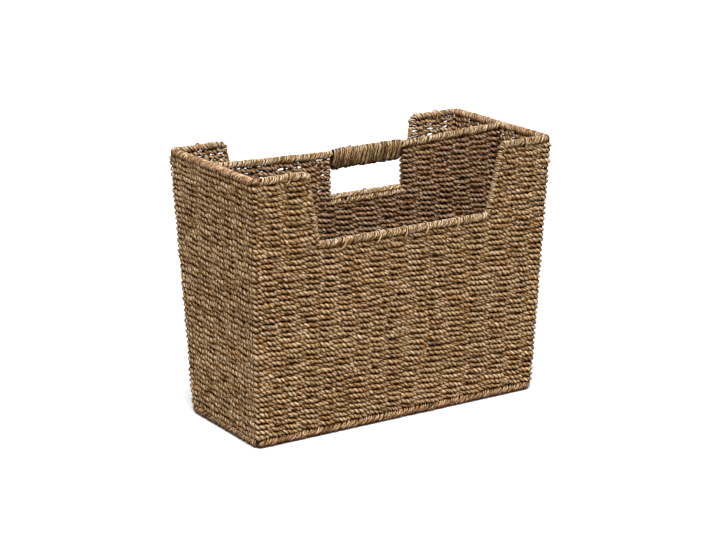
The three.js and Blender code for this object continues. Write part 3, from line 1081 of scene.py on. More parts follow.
    def _shed(self, bundle: CordBundle) -> None:
        """Adds loose fibres to the outside of a band.

        Args:
            bundle: The band.
        """
        for path in [strand.path for strand in bundle.strands]:
            for foot in path[self.rng.random(len(path)) < self.loose]:
                half_length, half_depth = self.size.half_length(foot[2]), self.size.half_depth(foot[2])
                out = np.array([foot[0] / half_length, foot[1] / half_depth, 0.0])
                outward = np.where(np.abs(out) > self.corner_share, np.sign(out), 0.0)
                if outward.any():
                    outward /= np.linalg.norm(outward)
                    surface = foot + outward * self.cord.radius * 0.9
                    fibre = self._fibre(surface, outward, self.fibre_length)
                    bundle.add(fibre, swell=self.rng.uniform(*self.fibre_girth), tint=bleached)

    def _swell(self, path: np.ndarray) -> np.ndarray:
        """Uneven thickness of a cord, fuller round the posts so that the corners close.

        Args:
            path: Centre line of the cord.

        Returns:
            Thickness at each point, as a share of the cord's own.
        """
        count = len(path)
        knots = self.rng.normal(1, self.thickness_spread, max(4, count // 10))
        uneven = eased_interp(np.linspace(0, len(knots), count, endpoint=False), knots, True)
        half_length = np.array([self.size.half_length(z) for z in path[:, 2]])
        half_depth = np.array([self.size.half_depth(z) for z in path[:, 2]])
        away = np.hypot(np.abs(path[:, 0]) - half_length, np.abs(path[:, 1]) - half_depth)
        near = ease(np.clip(1 - (away - self.girth_start) / self.girth_fade, 0, 1))
        return uneven * (1 + self.post_girth * near)


@dataclass
class DividerWeave(WovenPart):
    """The woven divider, whose courses fold round its posts and round the sides of the hand hole.

    Attributes:
        cord: Cord of the courses.
        mixture: Grass of the cord.
        twining: How the cords pass the stakes.
        pitch: Usual height of a course.
        fold: How far folds stand out beside the hand hole, against those at the posts.
        stake_gap: Least distance of a stake from the end of a course.
        golden: Least lightness of the grass under the hand hole.
    """

    cord: CordSpec = CordSpec(2.85 * MM)
    mixture: Mixture = Mixture(tone=0.42, red=0.2)
    twining: Twining = Twining(post_swell=0.35, step=1.75 * MM)
    pitch: float = 6.08 * MM
    fold: float = 2.1
    stake_gap: float = 8 * MM
    golden: float = 0.85

    def stations(self, low: float, high: float, z: float) -> list[Station]:
        """Stations of a course.

        Args:
            low: Its left end.
            high: Its right end.
            z: Its height.

        Returns:
            The stations, from left to right.
        """
        size = self.size
        middle = (size.hole_left + size.hole_right) / 2
        count = int(size.rim_length / size.divider_bay)
        stakes = middle + (np.arange(2 * count + 1) - count) * size.divider_bay
        inner = [x for x in stakes if low + self.stake_gap < x < high - self.stake_gap]
        return [Station((x, 0, z), (0, -1, 0), x in (low, high)) for x in [low, *inner, high]]

    def bundles(self) -> list[CordBundle]:
        """Weaves the divider.

        Returns:
            A lower piece, and an upper one with the hand hole.
        """
        size = self.size
        cut = size.sill - size.sill_wrap / 2
        low_count = int(round((cut - size.divider_foot) / self.pitch))
        high_count = int(round((size.weave_top - cut) / self.pitch))
        lower = CordBundle("divider_courses_lower", self.cord, self.mixture, self.rng)
        upper = CordBundle("divider_courses_upper", self.cord, self.mixture, self.rng)
        uneven = Unevenness(self.twining, self.rng)
        for i, z in enumerate(bay_middles(size.divider_foot, cut, low_count)):
            reach = size.half_length(z) - size.divider_inset
            tint = self._gilded if i == low_count - 1 else None
            self._course(lower, (-reach, reach), z, uneven, tint)
        for z in bay_middles(cut, size.weave_top, high_count):
            reach = size.half_length(z) - size.divider_inset
            self._course(upper, (-reach, size.hole_left), z, uneven)
            self._course(upper, (size.hole_right, reach), z, uneven)
        return [lower, upper]

    def _course(
        self,
        bundle: CordBundle,
        ends: tuple[float, float],
        z: float,
        uneven: Unevenness,
        tint: Optional[Tint] = None,
    ) -> None:
        """Adds one folded course, sagging with the top rod.

        Args:
            bundle: Bundle that takes it.
            ends: Its left and right end.
            z: Its height before it sags.
            uneven: Straying of the courses.
            tint: Changes the tones of given points, if any.
        """
        track = Track(self.stations(*ends, z), False, self.twining)
        share = np.clip((z - self.size.sill) / (self.size.weave_top - self.size.sill), 0, 1)
        sag = (self.size.divider_top(track.base[:, 0]) - self.size.rim_height) * share
        track.base[:, 2] += sag
        paths = track.cords(UP, *uneven.next(track.stations))
        left, right = (self.fold if abs(x) < self.size.notch_half else 1.0 for x in ends)
        bundle.add(track.folded(paths, -left * LENGTHWAYS, right * LENGTHWAYS), closed=True, tint=tint)

    def _gilded(self, path: np.ndarray, tone: np.ndarray) -> np.ndarray:
        """Lighter grass under the hand hole."""
        inside = (path[:, 0] > self.size.hole_left) & (path[:, 0] < self.size.hole_right)
        return np.where(inside, np.maximum(tone, self.golden), tone)


@dataclass
class BaseWeave(WovenPart):
    """The woven base, whose courses run along its length inside the foot border.

    Attributes:
        cord: Cord of the courses.
        mixture: Grass of the cord.
        twining: How the cords pass the cross rods.
        thickness: Height of the base over the floor.
        pitch: Usual width of a course.
        end_gap: Distance of the courses' ends from the foot border.
    """

    cord: CordSpec = CordSpec(2.6 * MM)
    mixture: Mixture = Mixture(tone=0.45)
    twining: Twining = Twining(reach=1.7 * MM, rise=1.4 * MM, waviness=0.3 * MM, post_swell=0.0)
    thickness: float = 8.8 * MM
    pitch: float = 6.1 * MM
    end_gap: float = 4 * MM

    def bundle(self) -> CordBundle:
        """Weaves the base.

        Returns:
            The base, one piece.
        """
        size = self.size
        half_length = size.half_length(size.foot_height) - size.foot_wrap / 2 - self.end_gap
        half_depth = size.half_depth(size.foot_height) - size.foot_wrap / 2
        stakes = [x * size.half_length(size.foot_height) for x in size.long_shares()]
        bundle = CordBundle("base_courses", self.cord, self.mixture, self.rng)
        uneven = Unevenness(self.twining, self.rng)
        for y in bay_middles(-half_depth, half_depth, int(round(2 * half_depth / self.pitch))):
            places = [(x, y, self.thickness / 2) for x in (-half_length, *stakes, half_length)]
            track = Track([Station(place, (0, 0, -1)) for place in places], False, self.twining)
            paths = track.cords(FRONT, *uneven.next(track.stations))
            bundle.add(track.folded(paths, -LENGTHWAYS, LENGTHWAYS), closed=True)
        return bundle


# Wrapped and wound parts


@dataclass(frozen=True)
class Piece:
    """A bundle of cord with its finish and the CAD nodes that it stands for."""

    bundle: CordBundle
    slot: Slot
    nodes: tuple[str, ...]


@dataclass(frozen=True)
class Binding:
    """A wrapping and what it is made of."""

    wrapping: Wrapping
    cord: CordSpec
    mixture: Mixture


@dataclass(frozen=True)
class Stitching:
    """Loops that bind a level rod of the rim to the course under it.

    Attributes:
        spacing: Least and greatest distance from one loop to the next.
        half_width: Half the width of a loop across the wall.
        half_height: Half the height of a loop.
        drop: How far the middle of a loop lies under the rod.
        squareness: Below 1, a loop's corners are squarer.
        slant: How far the top of a loop lies to the right of its middle, in millimetres.
        slant_spread: Spread of the slant, in millimetres.
        girth: Least and greatest thickness of its cord, as a share of the rim cord's.
        steps: Points along a loop.
    """

    spacing: tuple[float, float]
    half_width: float = 5.7 * MM
    half_height: float = 6.6 * MM
    drop: float = 1.8 * MM
    squareness: float = 0.6
    slant: float = 1.5
    slant_spread: float = 1.0
    girth: tuple[float, float] = (0.6, 0.85)
    steps: int = 24


STRAW = Mixture(tone=0.68, tone_spread=0.22, red=0.12, green=0.12, length=0.06, tint=0.3)
RUSTY = Mixture(tone=0.57, tone_spread=0.24, red=0.3, green=0.1, length=0.06, tint=0.6)
RIM_CORD = CordSpec(1.25 * MM, groove=0.72, twist=20 * MM, facets=8)
FOOT_CORD = CordSpec(1.5 * MM, groove=0.72, twist=20 * MM, facets=8)
SILL_CORD = CordSpec(1.35 * MM, groove=0.75, twist=16 * MM)
RIM_TURNS = Wrapping(outside=9.2 * MM, pitch=2.85 * MM, unevenness=0.28, lean=4.2 * MM)
END_RIM_TURNS = Wrapping(outside=9.2 * MM, pitch=2.9 * MM, unevenness=0.3, lean=3.4 * MM)
FOOT_TURNS = Wrapping(outside=10.4 * MM, pitch=3.1 * MM, lean=5.5 * MM)
SILL_TURNS = Wrapping(outside=5.8 * MM, pitch=2.5 * MM, lean=3.5 * MM)


@dataclass
class Borders(WovenPart):
    """Cord wrapped round the rods of the rim, the notches, the divider's top and the foot.

    Attributes:
        rim: Wrap of the shoulders, the notches and the divider's top.
        end_rim: Wrap of the rims of the ends.
        foot: Wrap of the foot ring.
        sill: Wrap of the rod under the hand hole.
        second_row: Turns of the row under it.
        second_drop: How far that row lies under the rod.
        notch_side: Turns on the sloping sides of the notches.
        notch_girth: Thickness of their cord, as a share of the rim cord's.
        lining_stray: Unevenness of the inner layer of a wrap, as a share of the pitch.
        notch_stitches: Loops under the floor of a notch.
        shoulder_stitches: Loops under a shoulder.
        round_corner: How far the wraps of the end rims and the long foot borders run round a corner.
        overlap: How far the other wraps at a corner reach past their beginning.
        rim_lift: How much higher the wrapped rim lies than its rods.
        foot_lift: How much higher the wrapped foot border lies than its ring.
        past_hole: How far the divider's wraps reach past the sides of the hand hole.
        hairs: Fine fibres for each metre of a wrapped rod.
        hair_length: Greatest length of a fine fibre.
        hair_girth: Least and greatest thickness of one, as a share of the cord's.
    """

    rim: Binding = Binding(RIM_TURNS, RIM_CORD, STRAW)
    end_rim: Binding = Binding(END_RIM_TURNS, RIM_CORD, RUSTY)
    foot: Binding = Binding(FOOT_TURNS, FOOT_CORD, RUSTY)
    sill: Binding = Binding(SILL_TURNS, SILL_CORD, STRAW)
    second_row: Wrapping = replace(SILL_TURNS, outside=8.6 * MM, pitch=2.7 * MM)
    second_drop: float = 5.3 * MM
    notch_side: Wrapping = Wrapping(outside=6.6 * MM, pitch=2.3 * MM, lean=2.5 * MM)
    notch_girth: float = 0.8
    lining_stray: float = 0.05
    notch_stitches: Stitching = Stitching(spacing=(26 * MM, 60 * MM))
    shoulder_stitches: Stitching = Stitching(spacing=(34 * MM, 60 * MM))
    round_corner: float = 7 * MM
    overlap: float = 1 * MM
    rim_lift: float = 0.7 * MM
    foot_lift: float = 0.9 * MM
    past_hole: float = 6.5 * MM
    hairs: float = 1 / (7 * MM)
    hair_length: float = 6 * MM
    hair_girth: tuple[float, float] = (0.12, 0.24)

    def pieces(self) -> list[Piece]:
        """Wraps all the rods.

        Returns:
            The wraps.
        """
        made = [*self._shoulders(), *self._notches(), *self._end_rims(), *self._divider_rims()]
        return [*made, self._hole_sill(), *self._feet()]

    def _wrapped(
        self, name: str, corners: Sequence[Point], binding: Binding, side: np.ndarray, facing: np.ndarray
    ) -> CordBundle:
        """Wraps one stretch of rod in two layers of cord, the inner one darkened as painted shade.

        Args:
            name: Name of the piece.
            corners: Ends of the rod's straight runs.
            binding: The wrapping and its cord.
            side: Direction that the turns start from, square to the whole rod.
            facing: Direction that the rod's run is seen from.

        Returns:
            The wrap.
        """
        wrapping, radius = binding.wrapping, binding.cord.radius
        bundle = CordBundle(name, binding.cord, binding.mixture, self.rng)
        line = RodLine(corners, self.size.bend)
        path = wrapping.path(line, side, facing, radius, self.rng)
        lining = replace(wrapping, outside=wrapping.outside - radius, unevenness=self.lining_stray)
        bundle.add(path)
        # The inner layer gets painted shade: darker grass where it lies under the outer turns.
        bundle.add(lining.path(line, side, facing, radius, self.rng), tint=shadowed)
        self._fray(bundle, path, wrapping.steps // 2, int(line.length * self.hairs))
        return bundle

    def _fray(self, bundle: CordBundle, path: np.ndarray, across: int, count: int) -> None:
        """Adds fine fibres that stand off a wrapped rod.

        Args:
            bundle: Bundle that takes them.
            path: Centre line of the wrapped cord.
            across: Points in half a turn.
            count: How many fibres there are.
        """
        for place in self.rng.integers(0, len(path) - across, count):
            outward = path[place] - path[place + across]
            outward /= np.linalg.norm(outward)
            surface = path[place] + 0.8 * bundle.spec.radius * outward
            fibre = self._fibre(surface, outward, self.hair_length)
            bundle.add(fibre, swell=self.rng.uniform(*self.hair_girth), tint=bleached)

    def _stitch(
        self, bundle: CordBundle, y: int, run: Sequence[float], z: float, stitching: Stitching
    ) -> None:
        """Adds the loops under one level rod of the rim.

        Args:
            bundle: Bundle that takes them.
            y: -1 for the front, 1 for the back.
            run: Ends of the stretch that has loops.
            z: Height of the rod.
            stitching: The loops.
        """
        depth = y * self.size.half_depth(z)
        angle = np.linspace(0, 2 * np.pi, stitching.steps, endpoint=False)
        cosine, sine = np.cos(angle), np.sin(angle)
        out = stitching.half_width * np.sign(cosine) * np.abs(cosine) ** stitching.squareness
        up = stitching.half_height * sine - stitching.drop
        low, high = run
        x = low + self.rng.uniform(*stitching.spacing) / 2
        while x < high:
            slant = self.rng.normal(stitching.slant, stitching.slant_spread) * MM * sine
            loop = np.stack([x + slant, depth + out, z + up], 1)
            bundle.add(loop, closed=True, swell=self.rng.uniform(*stitching.girth))
            x += self.rng.uniform(*stitching.spacing)

    def _corner(self, x: int, y: int, z: float, inwards: float = 0.0) -> Point:
        """A corner of the box at a height, or a place on its long side."""
        return (x * (self.size.half_length(z) - inwards), y * self.size.half_depth(z), z)

    def _end_place(self, x: int, y: int, z: float, inwards: float) -> Point:
        """A place on the short side of the box at a height."""
        return (x * self.size.half_length(z), y * (self.size.half_depth(z) - inwards), z)

    def _notch_point(self, x: int, y: int, z: float) -> Point:
        """A point on a notch's side at a height."""
        return (x * self.size.notch_side(z), y * self.size.half_depth(z), z)

    def _shoulders(self) -> list[Piece]:
        """Wraps the rim beside the notches, and their sloping sides.

        Returns:
            One piece for each shoulder.
        """
        bend, rim = self.size.bend, self.size.rim_height + self.rim_lift
        made = []
        for y, wall in ((-1, "front"), (1, "back")):
            for x, end in ((-1, "left"), (1, "right")):
                facing = FRONT * -y
                below, turn = self._notch_point(x, y, rim - bend), self._notch_point(x, y, rim)
                last = self._corner(x, y, rim, self.round_corner - self.overlap)
                name = f"{wall}_{end}_shoulder"
                bundle = self._wrapped(f"{name}_cord", (below, turn, last), self.rim, facing, facing)
                run = sorted((turn[0] + x * 8 * MM, last[0] - x * 4 * MM))
                self._stitch(bundle, y, run, rim, self.shoulder_stitches)
                foot = self._notch_point(x, y, self.size.notch_floor + bend)
                slope, radius = RodLine((foot, below), bend), self.notch_girth * RIM_CORD.radius
                path = self.notch_side.path(slope, LENGTHWAYS, facing, radius, self.rng)
                bundle.add(path, swell=self.notch_girth)
                made.append(Piece(bundle, Slot.RIM, (f"{name}_wrap",)))
        return made

    def _notches(self) -> list[Piece]:
        """Wraps the floors of the notches.

        Returns:
            One piece for each notch.
        """
        floor, above = self.size.notch_floor, self.size.notch_floor + self.size.bend
        made = []
        for y, wall in ((-1, "front"), (1, "back")):
            places = ((-1, above), (-1, floor), (1, floor), (1, above))
            corners = [self._notch_point(x, y, z) for x, z in places]
            bundle = self._wrapped(f"{wall}_notch_cord", corners, self.rim, FRONT * -y, FRONT * -y)
            half = self.size.notch_half - 6 * MM
            self._stitch(bundle, y, (-half, half), floor, self.notch_stitches)
            made.append(Piece(bundle, Slot.RIM, (f"{wall}_notch_wrap",)))
        return made

    def _end_rims(self) -> list[Piece]:
        """Wraps the rims of the end walls, which run round the corners of the basket.

        Returns:
            One piece for each end.
        """
        rim, inner = self.size.rim_height + self.rim_lift, self.round_corner
        made = []
        for x, end in ((-1, "left"), (1, "right")):
            corners = [self._corner(x, y, rim, i) for y, i in ((-1, inner), (-1, 0.0), (1, 0.0), (1, inner))]
            bundle = self._wrapped(f"{end}_rim_cord", corners, self.end_rim, UP, LENGTHWAYS * x)
            made.append(Piece(bundle, Slot.END_RIM, (f"{end}_rim_wrap",)))
        return made

    def _divider_rims(self) -> list[Piece]:
        """Wraps the divider's top.

        Returns:
            One piece for each side of the handle.
        """
        size = self.size
        half = size.rim_length / 2 - 4.5 * MM
        made = []
        for x, end, hole in ((-1, "left", size.hole_left), (1, "right", size.hole_right)):
            places = (x * half, hole, hole - x * self.past_hole)
            corners = [(place, 0, float(size.divider_top(place))) for place in places]
            bundle = self._wrapped(f"divider_rim_cord_{end}", corners, self.rim, FRONT, FRONT)
            made.append(Piece(bundle, Slot.RIM, (f"divider_rim_wrap_{end}",)))
        return made

    def _hole_sill(self) -> Piece:
        """Wraps the rod under the hand hole, and adds a second row under it.

        Returns:
            The wrap and the row, one piece.
        """
        size = self.size
        ends = (size.hole_left + 2 * MM, size.hole_right - 2 * MM)
        corners = [(x, 0, size.sill) for x in ends]
        bundle = self._wrapped("hand_hole_sill_cord", corners, self.sill, FRONT, FRONT)
        below = RodLine([(x, 0, size.sill - self.second_drop) for x in ends], size.bend)
        bundle.add(self.second_row.path(below, FRONT, FRONT, self.sill.cord.radius, self.rng))
        return Piece(bundle, Slot.RIM, ("hand_hole_sill_wrap",))

    def _feet(self) -> list[Piece]:
        """Wraps the foot ring. The long sides' cords run round the corners.

        Returns:
            One piece for each side.
        """
        foot, inner = self.size.foot_height + self.foot_lift, self.round_corner
        made = []
        for y, wall in ((-1, "front"), (1, "back")):
            first, last = (self._end_place(x, y, foot, inner) for x in (-1, 1))
            corners = (first, self._corner(-1, y, foot), self._corner(1, y, foot), last)
            bundle = self._wrapped(f"foot_cord_{wall}", corners, self.foot, UP, FRONT * -y)
            made.append(Piece(bundle, Slot.FOOT, (f"foot_wrap_{wall}",)))
        for x, end in ((-1, "left"), (1, "right")):
            corners = [self._end_place(x, y, foot, inner - self.overlap) for y in (-1, 1)]
            bundle = self._wrapped(f"foot_cord_{end}", corners, self.foot, UP, LENGTHWAYS * x)
            made.append(Piece(bundle, Slot.FOOT, (f"foot_wrap_{end}",)))
        return made


@dataclass
class HandleWinding(WovenPart):
    """Grass wound round the two rods of the carrying handle.

    Attributes:
        cord: Cord of the winding.
        mixture: Its grass.
        turns: Turns in a layer.
        rod: Radius of the rods.
        steps: Steps in one turn.
        lean: How far the top of a turn lies to the right of its foot.
        from_left: Distance of the winding from the left side of the hand hole.
        from_right: Distance of the winding from its right side.
        inner_stray: How far the inner turns stray along the handle, in turns.
        outer_stray: How far the outer turns stray.
        inner_girth: Thickness of the inner turns, as a share of the cord's own.
        nesting: Distance of the outer turns from the rods, in radii of the cord.
        painted_light: Strength of the painted light on top of the handle and the painted shade under it, as
            lighter and darker grass.
        painted_light_reach: Height over the middle at which that painted light and shade are full.
    """

    cord: CordSpec = CordSpec(1.2 * MM, groove=0.6, twist=40 * MM, facets=8)
    mixture: Mixture = Mixture(tone=0.42, tone_spread=0.36, red=0.34, green=0.26, length=0.03, tint=0.7)
    turns: int = 36
    rod: float = 2.3 * MM
    steps: int = 24
    lean: float = 2.5 * MM
    from_left: float = 8.2 * MM
    from_right: float = 6.8 * MM
    inner_stray: float = 0.02
    outer_stray: float = 0.32
    inner_girth: float = 1.25
    nesting: float = 1.9
    painted_light: float = 0.4
    painted_light_reach: float = 9 * MM

    def piece(self) -> Piece:
        """Winds close turns darkened as painted shade, and uneven turns over them with painted light on top
        and painted shade underneath.

        Returns:
            The winding, one piece.
        """
        bundle = CordBundle("handle_cord", self.cord, self.mixture, self.rng)
        under = self._winding(self.rod + self.cord.radius, self.inner_stray)
        # The inner turns get painted shade: darker grass where they lie under the outer turns.
        bundle.add(under, swell=self.inner_girth, tint=shadowed)
        over = self._winding(self.rod + self.nesting * self.cord.radius, self.outer_stray)
        # The outer turns get painted light on top and painted shade underneath.
        bundle.add(over, tint=self._painted_light_and_shade)
        return Piece(bundle, Slot.HANDLE, ("handle_winding",))

    def _painted_light_and_shade(self, path: np.ndarray, tone: np.ndarray) -> np.ndarray:
        """Painted light on top of the handle and painted shade under it, as lighter and darker grass."""
        middle = self.size.divider_rod - self.size.handle_spacing / 2
        return tone + self.painted_light * np.clip((path[:, 2] - middle) / self.painted_light_reach, -1, 1)

    def _winding(self, radius: float, strays: float) -> np.ndarray:
        """Centre line of one layer of turns.

        Args:
            radius: Distance of the cord from the rods.
            strays: How far the turns stray along the handle, in turns.

        Returns:
            Points along the cord.
        """
        low, high = self.size.divider_rod - self.size.handle_spacing, self.size.divider_rod
        straight, arc = high - low, math.pi * radius
        knots = np.array([0, straight, straight + arc, 2 * straight + arc, 2 * (straight + arc)])
        travelled = np.linspace(0, 1, self.steps, endpoint=False) * knots[-1]
        leg = np.clip(np.searchsorted(knots, travelled, side="right") - 1, 0, 3)
        past = travelled - knots[leg]
        across, up = radius * np.cos(past / radius), radius * np.sin(past / radius)
        y = np.tile(np.choose(leg, [-radius, -across, radius, across]), self.turns)
        z = np.tile(np.choose(leg, [low + past, high + up, high - past, low - up]), self.turns)
        place = np.arange(self.turns * self.steps) / self.steps
        stray = eased_interp(place * 2, self.rng.normal(0, strays, 2 * self.turns + 2), False)
        lift = np.abs(self.rng.normal(0, strays / 4, 2 * self.turns + 2))
        lift = 1 + eased_interp(place * 2, lift, False)
        start, end = self.size.hole_left + self.from_left, self.size.hole_right - self.from_right
        middle = (low + high) / 2
        slope = self.lean * (z - middle) / (high - low)
        x = start + (end - start) / self.turns * np.clip(place + stray, 0, self.turns) + slope
        return np.stack([x, y * lift, middle + (z - middle) * lift], 1)


# Finishes


@dataclass(frozen=True)
class SeagrassFinish:
    """Colours of one mixture of dry seagrass, as linear RGB.

    Attributes:
        slot: Slot that it fills.
        dark: Darkest grass.
        light: Lightest grass.
        red: Reddish grass.
        green: Greenish grass.
        relief: Strength of the fibres' relief.
        roughness: Roughness of the surface.
        gloss: Strength of its highlights.
    """

    slot: Slot
    dark: Colour
    light: Colour
    red: Colour
    green: Colour
    relief: float = 0.6
    roughness: float = 0.72
    gloss: float = 0.12


@dataclass(frozen=True)
class WireFinish:
    """Painted steel wire, as linear RGB."""

    slot: Slot = Slot.WIRE
    paint: Colour = (0.02, 0.013, 0.008)
    worn: Colour = (0.045, 0.028, 0.016)
    wear: tuple[float, float] = (0.45, 0.7)
    roughness: float = 0.8
    gloss: float = 0.05


@dataclass(frozen=True)
class Shade:
    """How a mask of the fibres makes the grass darker or lighter.

    Attributes:
        mask: Name of the mask.
        label: Label of its node.
        source: Range of the mask.
        target: What the colour is multiplied by at the ends of that range.
        curve: How it changes between them.
    """

    mask: str
    label: str
    source: tuple[float, float]
    target: tuple[float, float]
    curve: str = "LINEAR"


# Streak is the fibres' own grain. Groove paints shade between the plies and Crevice paints shade between the
# cords.
SHADES = (
    Shade("Streak", "Shade of the fibres", (0.38, 0.62), (0.3, 1.5)),
    Shade("Groove", "Shade between the plies", (0.0, 0.85), (0.03, 1.16), "SMOOTHSTEP"),
    Shade("Crevice", "Shade between the cords", (0.2, 0.9), (0.04, 1.0)),
    # Painted light and shade: surfaces that face up are made lighter and those that face down darker.
    Shade("Upward", "Painted light from above", (-0.8, 0.8), (0.7, 1.2)),
)
GRASS_COLOURS = ("Dark", "Light", "Red", "Green")
FIBRE_MASKS = ("Streak", "Blade", "Groove", "Crevice", "Upward")
FIBRES_PER_METRE = (260, 1000, 1000)
BLADES_PER_METRE = (110, 560, 560)
FIBRE_DEPTH = 0.5 * MM
CREVICE_REACH = 5 * MM
BLADE_CONTRAST = 2.0
PATCH_SCALE = 26.0
TINT_STRENGTH = 0.7
BRIGHTEST = 1.05
# Powers that make the painted shade, and the grain's dark streaks, warmer as they darken.
SHADE_WARMTH = (0.8, 1.4, 2.9)


class Nodes:
    """Short way to fill a node tree."""

    def __init__(self, tree: bpy.types.NodeTree) -> None:
        """Takes the tree that is filled."""
        self.tree = tree

    def put(self, value: float | tuple | Socket, entry: Socket) -> None:
        """Gives an input its value.

        Args:
            value: The value, or the socket that leads to the input.
            entry: The input.
        """
        if isinstance(value, Socket):
            self.tree.links.new(value, entry)
        elif entry.type == "RGBA" and len(value) == 3:
            entry.default_value = (*value, 1.0)
        else:
            entry.default_value = value

    def add(self, kind: str, label: str = "", inputs: Optional[dict] = None, **settings) -> bpy.types.Node:
        """Adds a node.

        Args:
            kind: Type of the node.
            label: Its label.
            inputs: Values of its inputs, or the sockets that lead to them, by name or place.
            settings: Its other properties.

        Returns:
            The node.
        """
        node = self.tree.nodes.new(kind)
        node.label = label
        for name, value in settings.items():
            setattr(node, name, value)
        for name, value in (inputs or {}).items():
            self.put(value, node.inputs[name])
        return node

    def math(self, operation: str, *values: float | Socket, clamp: bool = False) -> Socket:
        """Adds a math node and returns its result."""
        inputs = dict(enumerate(values))
        return self.add("ShaderNodeMath", inputs=inputs, operation=operation, use_clamp=clamp).outputs[0]

    def mix(
        self, share: float | Socket, first: Colour | Socket, second: Colour | Socket, blend: str = "MIX"
    ) -> Socket:
        """Adds a colour mix and returns its result."""
        inputs = {0: share, 6: first, 7: second}
        return self.add("ShaderNodeMix", inputs=inputs, data_type="RGBA", blend_type=blend).outputs[2]

    def noise(self, label: str, place: Socket, scale: float, detail: float, roughness: float = 0.5) -> Socket:
        """Adds a noise texture and returns its value."""
        inputs = {"Vector": place, "Scale": scale, "Detail": detail, "Roughness": roughness}
        return self.add("ShaderNodeTexNoise", label, inputs).outputs[0]

    def scaled(self, place: Socket, scale: tuple[float, float, float]) -> Socket:
        """Multiplies a place by a scale for each axis and returns the result."""
        inputs = {0: place, 1: scale}
        return self.add("ShaderNodeVectorMath", inputs=inputs, operation="MULTIPLY").outputs[0]

    def ranged(
        self,
        label: str,
        value: Socket,
        source: tuple[float, float],
        target: tuple[float, float] = (0.0, 1.0),
        curve: str = "LINEAR",
    ) -> Socket:
        """Maps one range of values to another.

        Args:
            label: Label of the node.
            value: The value.
            source: Range that it comes in.
            target: Range that it is given.
            curve: How it changes between the ends.

        Returns:
            The mapped value.
        """
        inputs = {
            "Value": value,
            "From Min": source[0],
            "From Max": source[1],
            "To Min": target[0],
            "To Max": target[1],
        }
        return self.add("ShaderNodeMapRange", label, inputs, interpolation_type=curve).outputs[0]

    def seen(self) -> Socket:
        """Tells rays that look at a surface from those that gather its light.

        Returns:
            1 for the first kind, 0 for the second.
        """
        path = self.add("ShaderNodeLightPath").outputs
        direct = self.math("ADD", path["Is Camera Ray"], path["Is Glossy Ray"])
        return self.math("ADD", direct, path["Is Transmission Ray"], clamp=True)


def new_group(name: str, sockets: Sequence[tuple[str, str, str]]) -> bpy.types.NodeTree:
    """Makes an empty node group.

    Args:
        name: Name of the group.
        sockets: Name, direction and kind of each of its sockets.

    Returns:
        The group.
    """
    tree = bpy.data.node_groups.new(name, "ShaderNodeTree")
    for socket, direction, kind in sockets:
        tree.interface.new_socket(socket, in_out=direction, socket_type=f"NodeSocket{kind}")
    return tree


def fibre_group() -> bpy.types.NodeTree:
    """Node group of the blades and fibres that run along a cord.

    Returns:
        A group with the input Relief, and the outputs Streak, Blade, Groove, Crevice, Upward and
        Normal. Groove is 0 between the two plies, Crevice is 0 deep between cords and Upward is 1
        where the surface faces up.
    """
    masks = [(name, "OUTPUT", "Float") for name in FIBRE_MASKS]
    sockets = (("Relief", "INPUT", "Float"), *masks, ("Normal", "OUTPUT", "Vector"))
    nodes = Nodes(new_group("Seagrass fibres", sockets))
    entry = nodes.add("NodeGroupInput")
    place = nodes.add("ShaderNodeAttribute", "Place on the cord", attribute_name="cord").outputs["Vector"]
    streak = nodes.noise("Fibres", nodes.scaled(place, FIBRES_PER_METRE), 1.0, 3.0, 0.6)
    blade = nodes.noise("Blades", nodes.scaled(place, BLADES_PER_METRE), 1.0, 1.0)
    relief = {"Strength": entry.outputs["Relief"], "Distance": FIBRE_DEPTH, "Height": streak}
    normal = nodes.add("ShaderNodeBump", "Relief of the fibres", relief).outputs[0]
    parts = nodes.add("ShaderNodeSeparateXYZ", inputs={0: place}).outputs
    angle = nodes.math("ARCTAN2", parts["Z"], parts["Y"])
    groove = nodes.math("ABSOLUTE", nodes.math("COSINE", angle))
    # Ambient occlusion, used as painted shade between the cords.
    hidden = nodes.add("ShaderNodeAmbientOcclusion", "Crevices", {"Distance": CREVICE_REACH}, samples=6)
    # The surface's facing, which drives the painted light from above and the painted shade below.
    facing = nodes.add("ShaderNodeNewGeometry").outputs["Normal"]
    upward = nodes.add("ShaderNodeSeparateXYZ", inputs={0: facing}).outputs["Z"]
    values = (streak, blade, groove, hidden.outputs["AO"], upward)
    nodes.add("NodeGroupOutput", inputs={**dict(zip(FIBRE_MASKS, values)), "Normal": normal})
    return nodes.tree


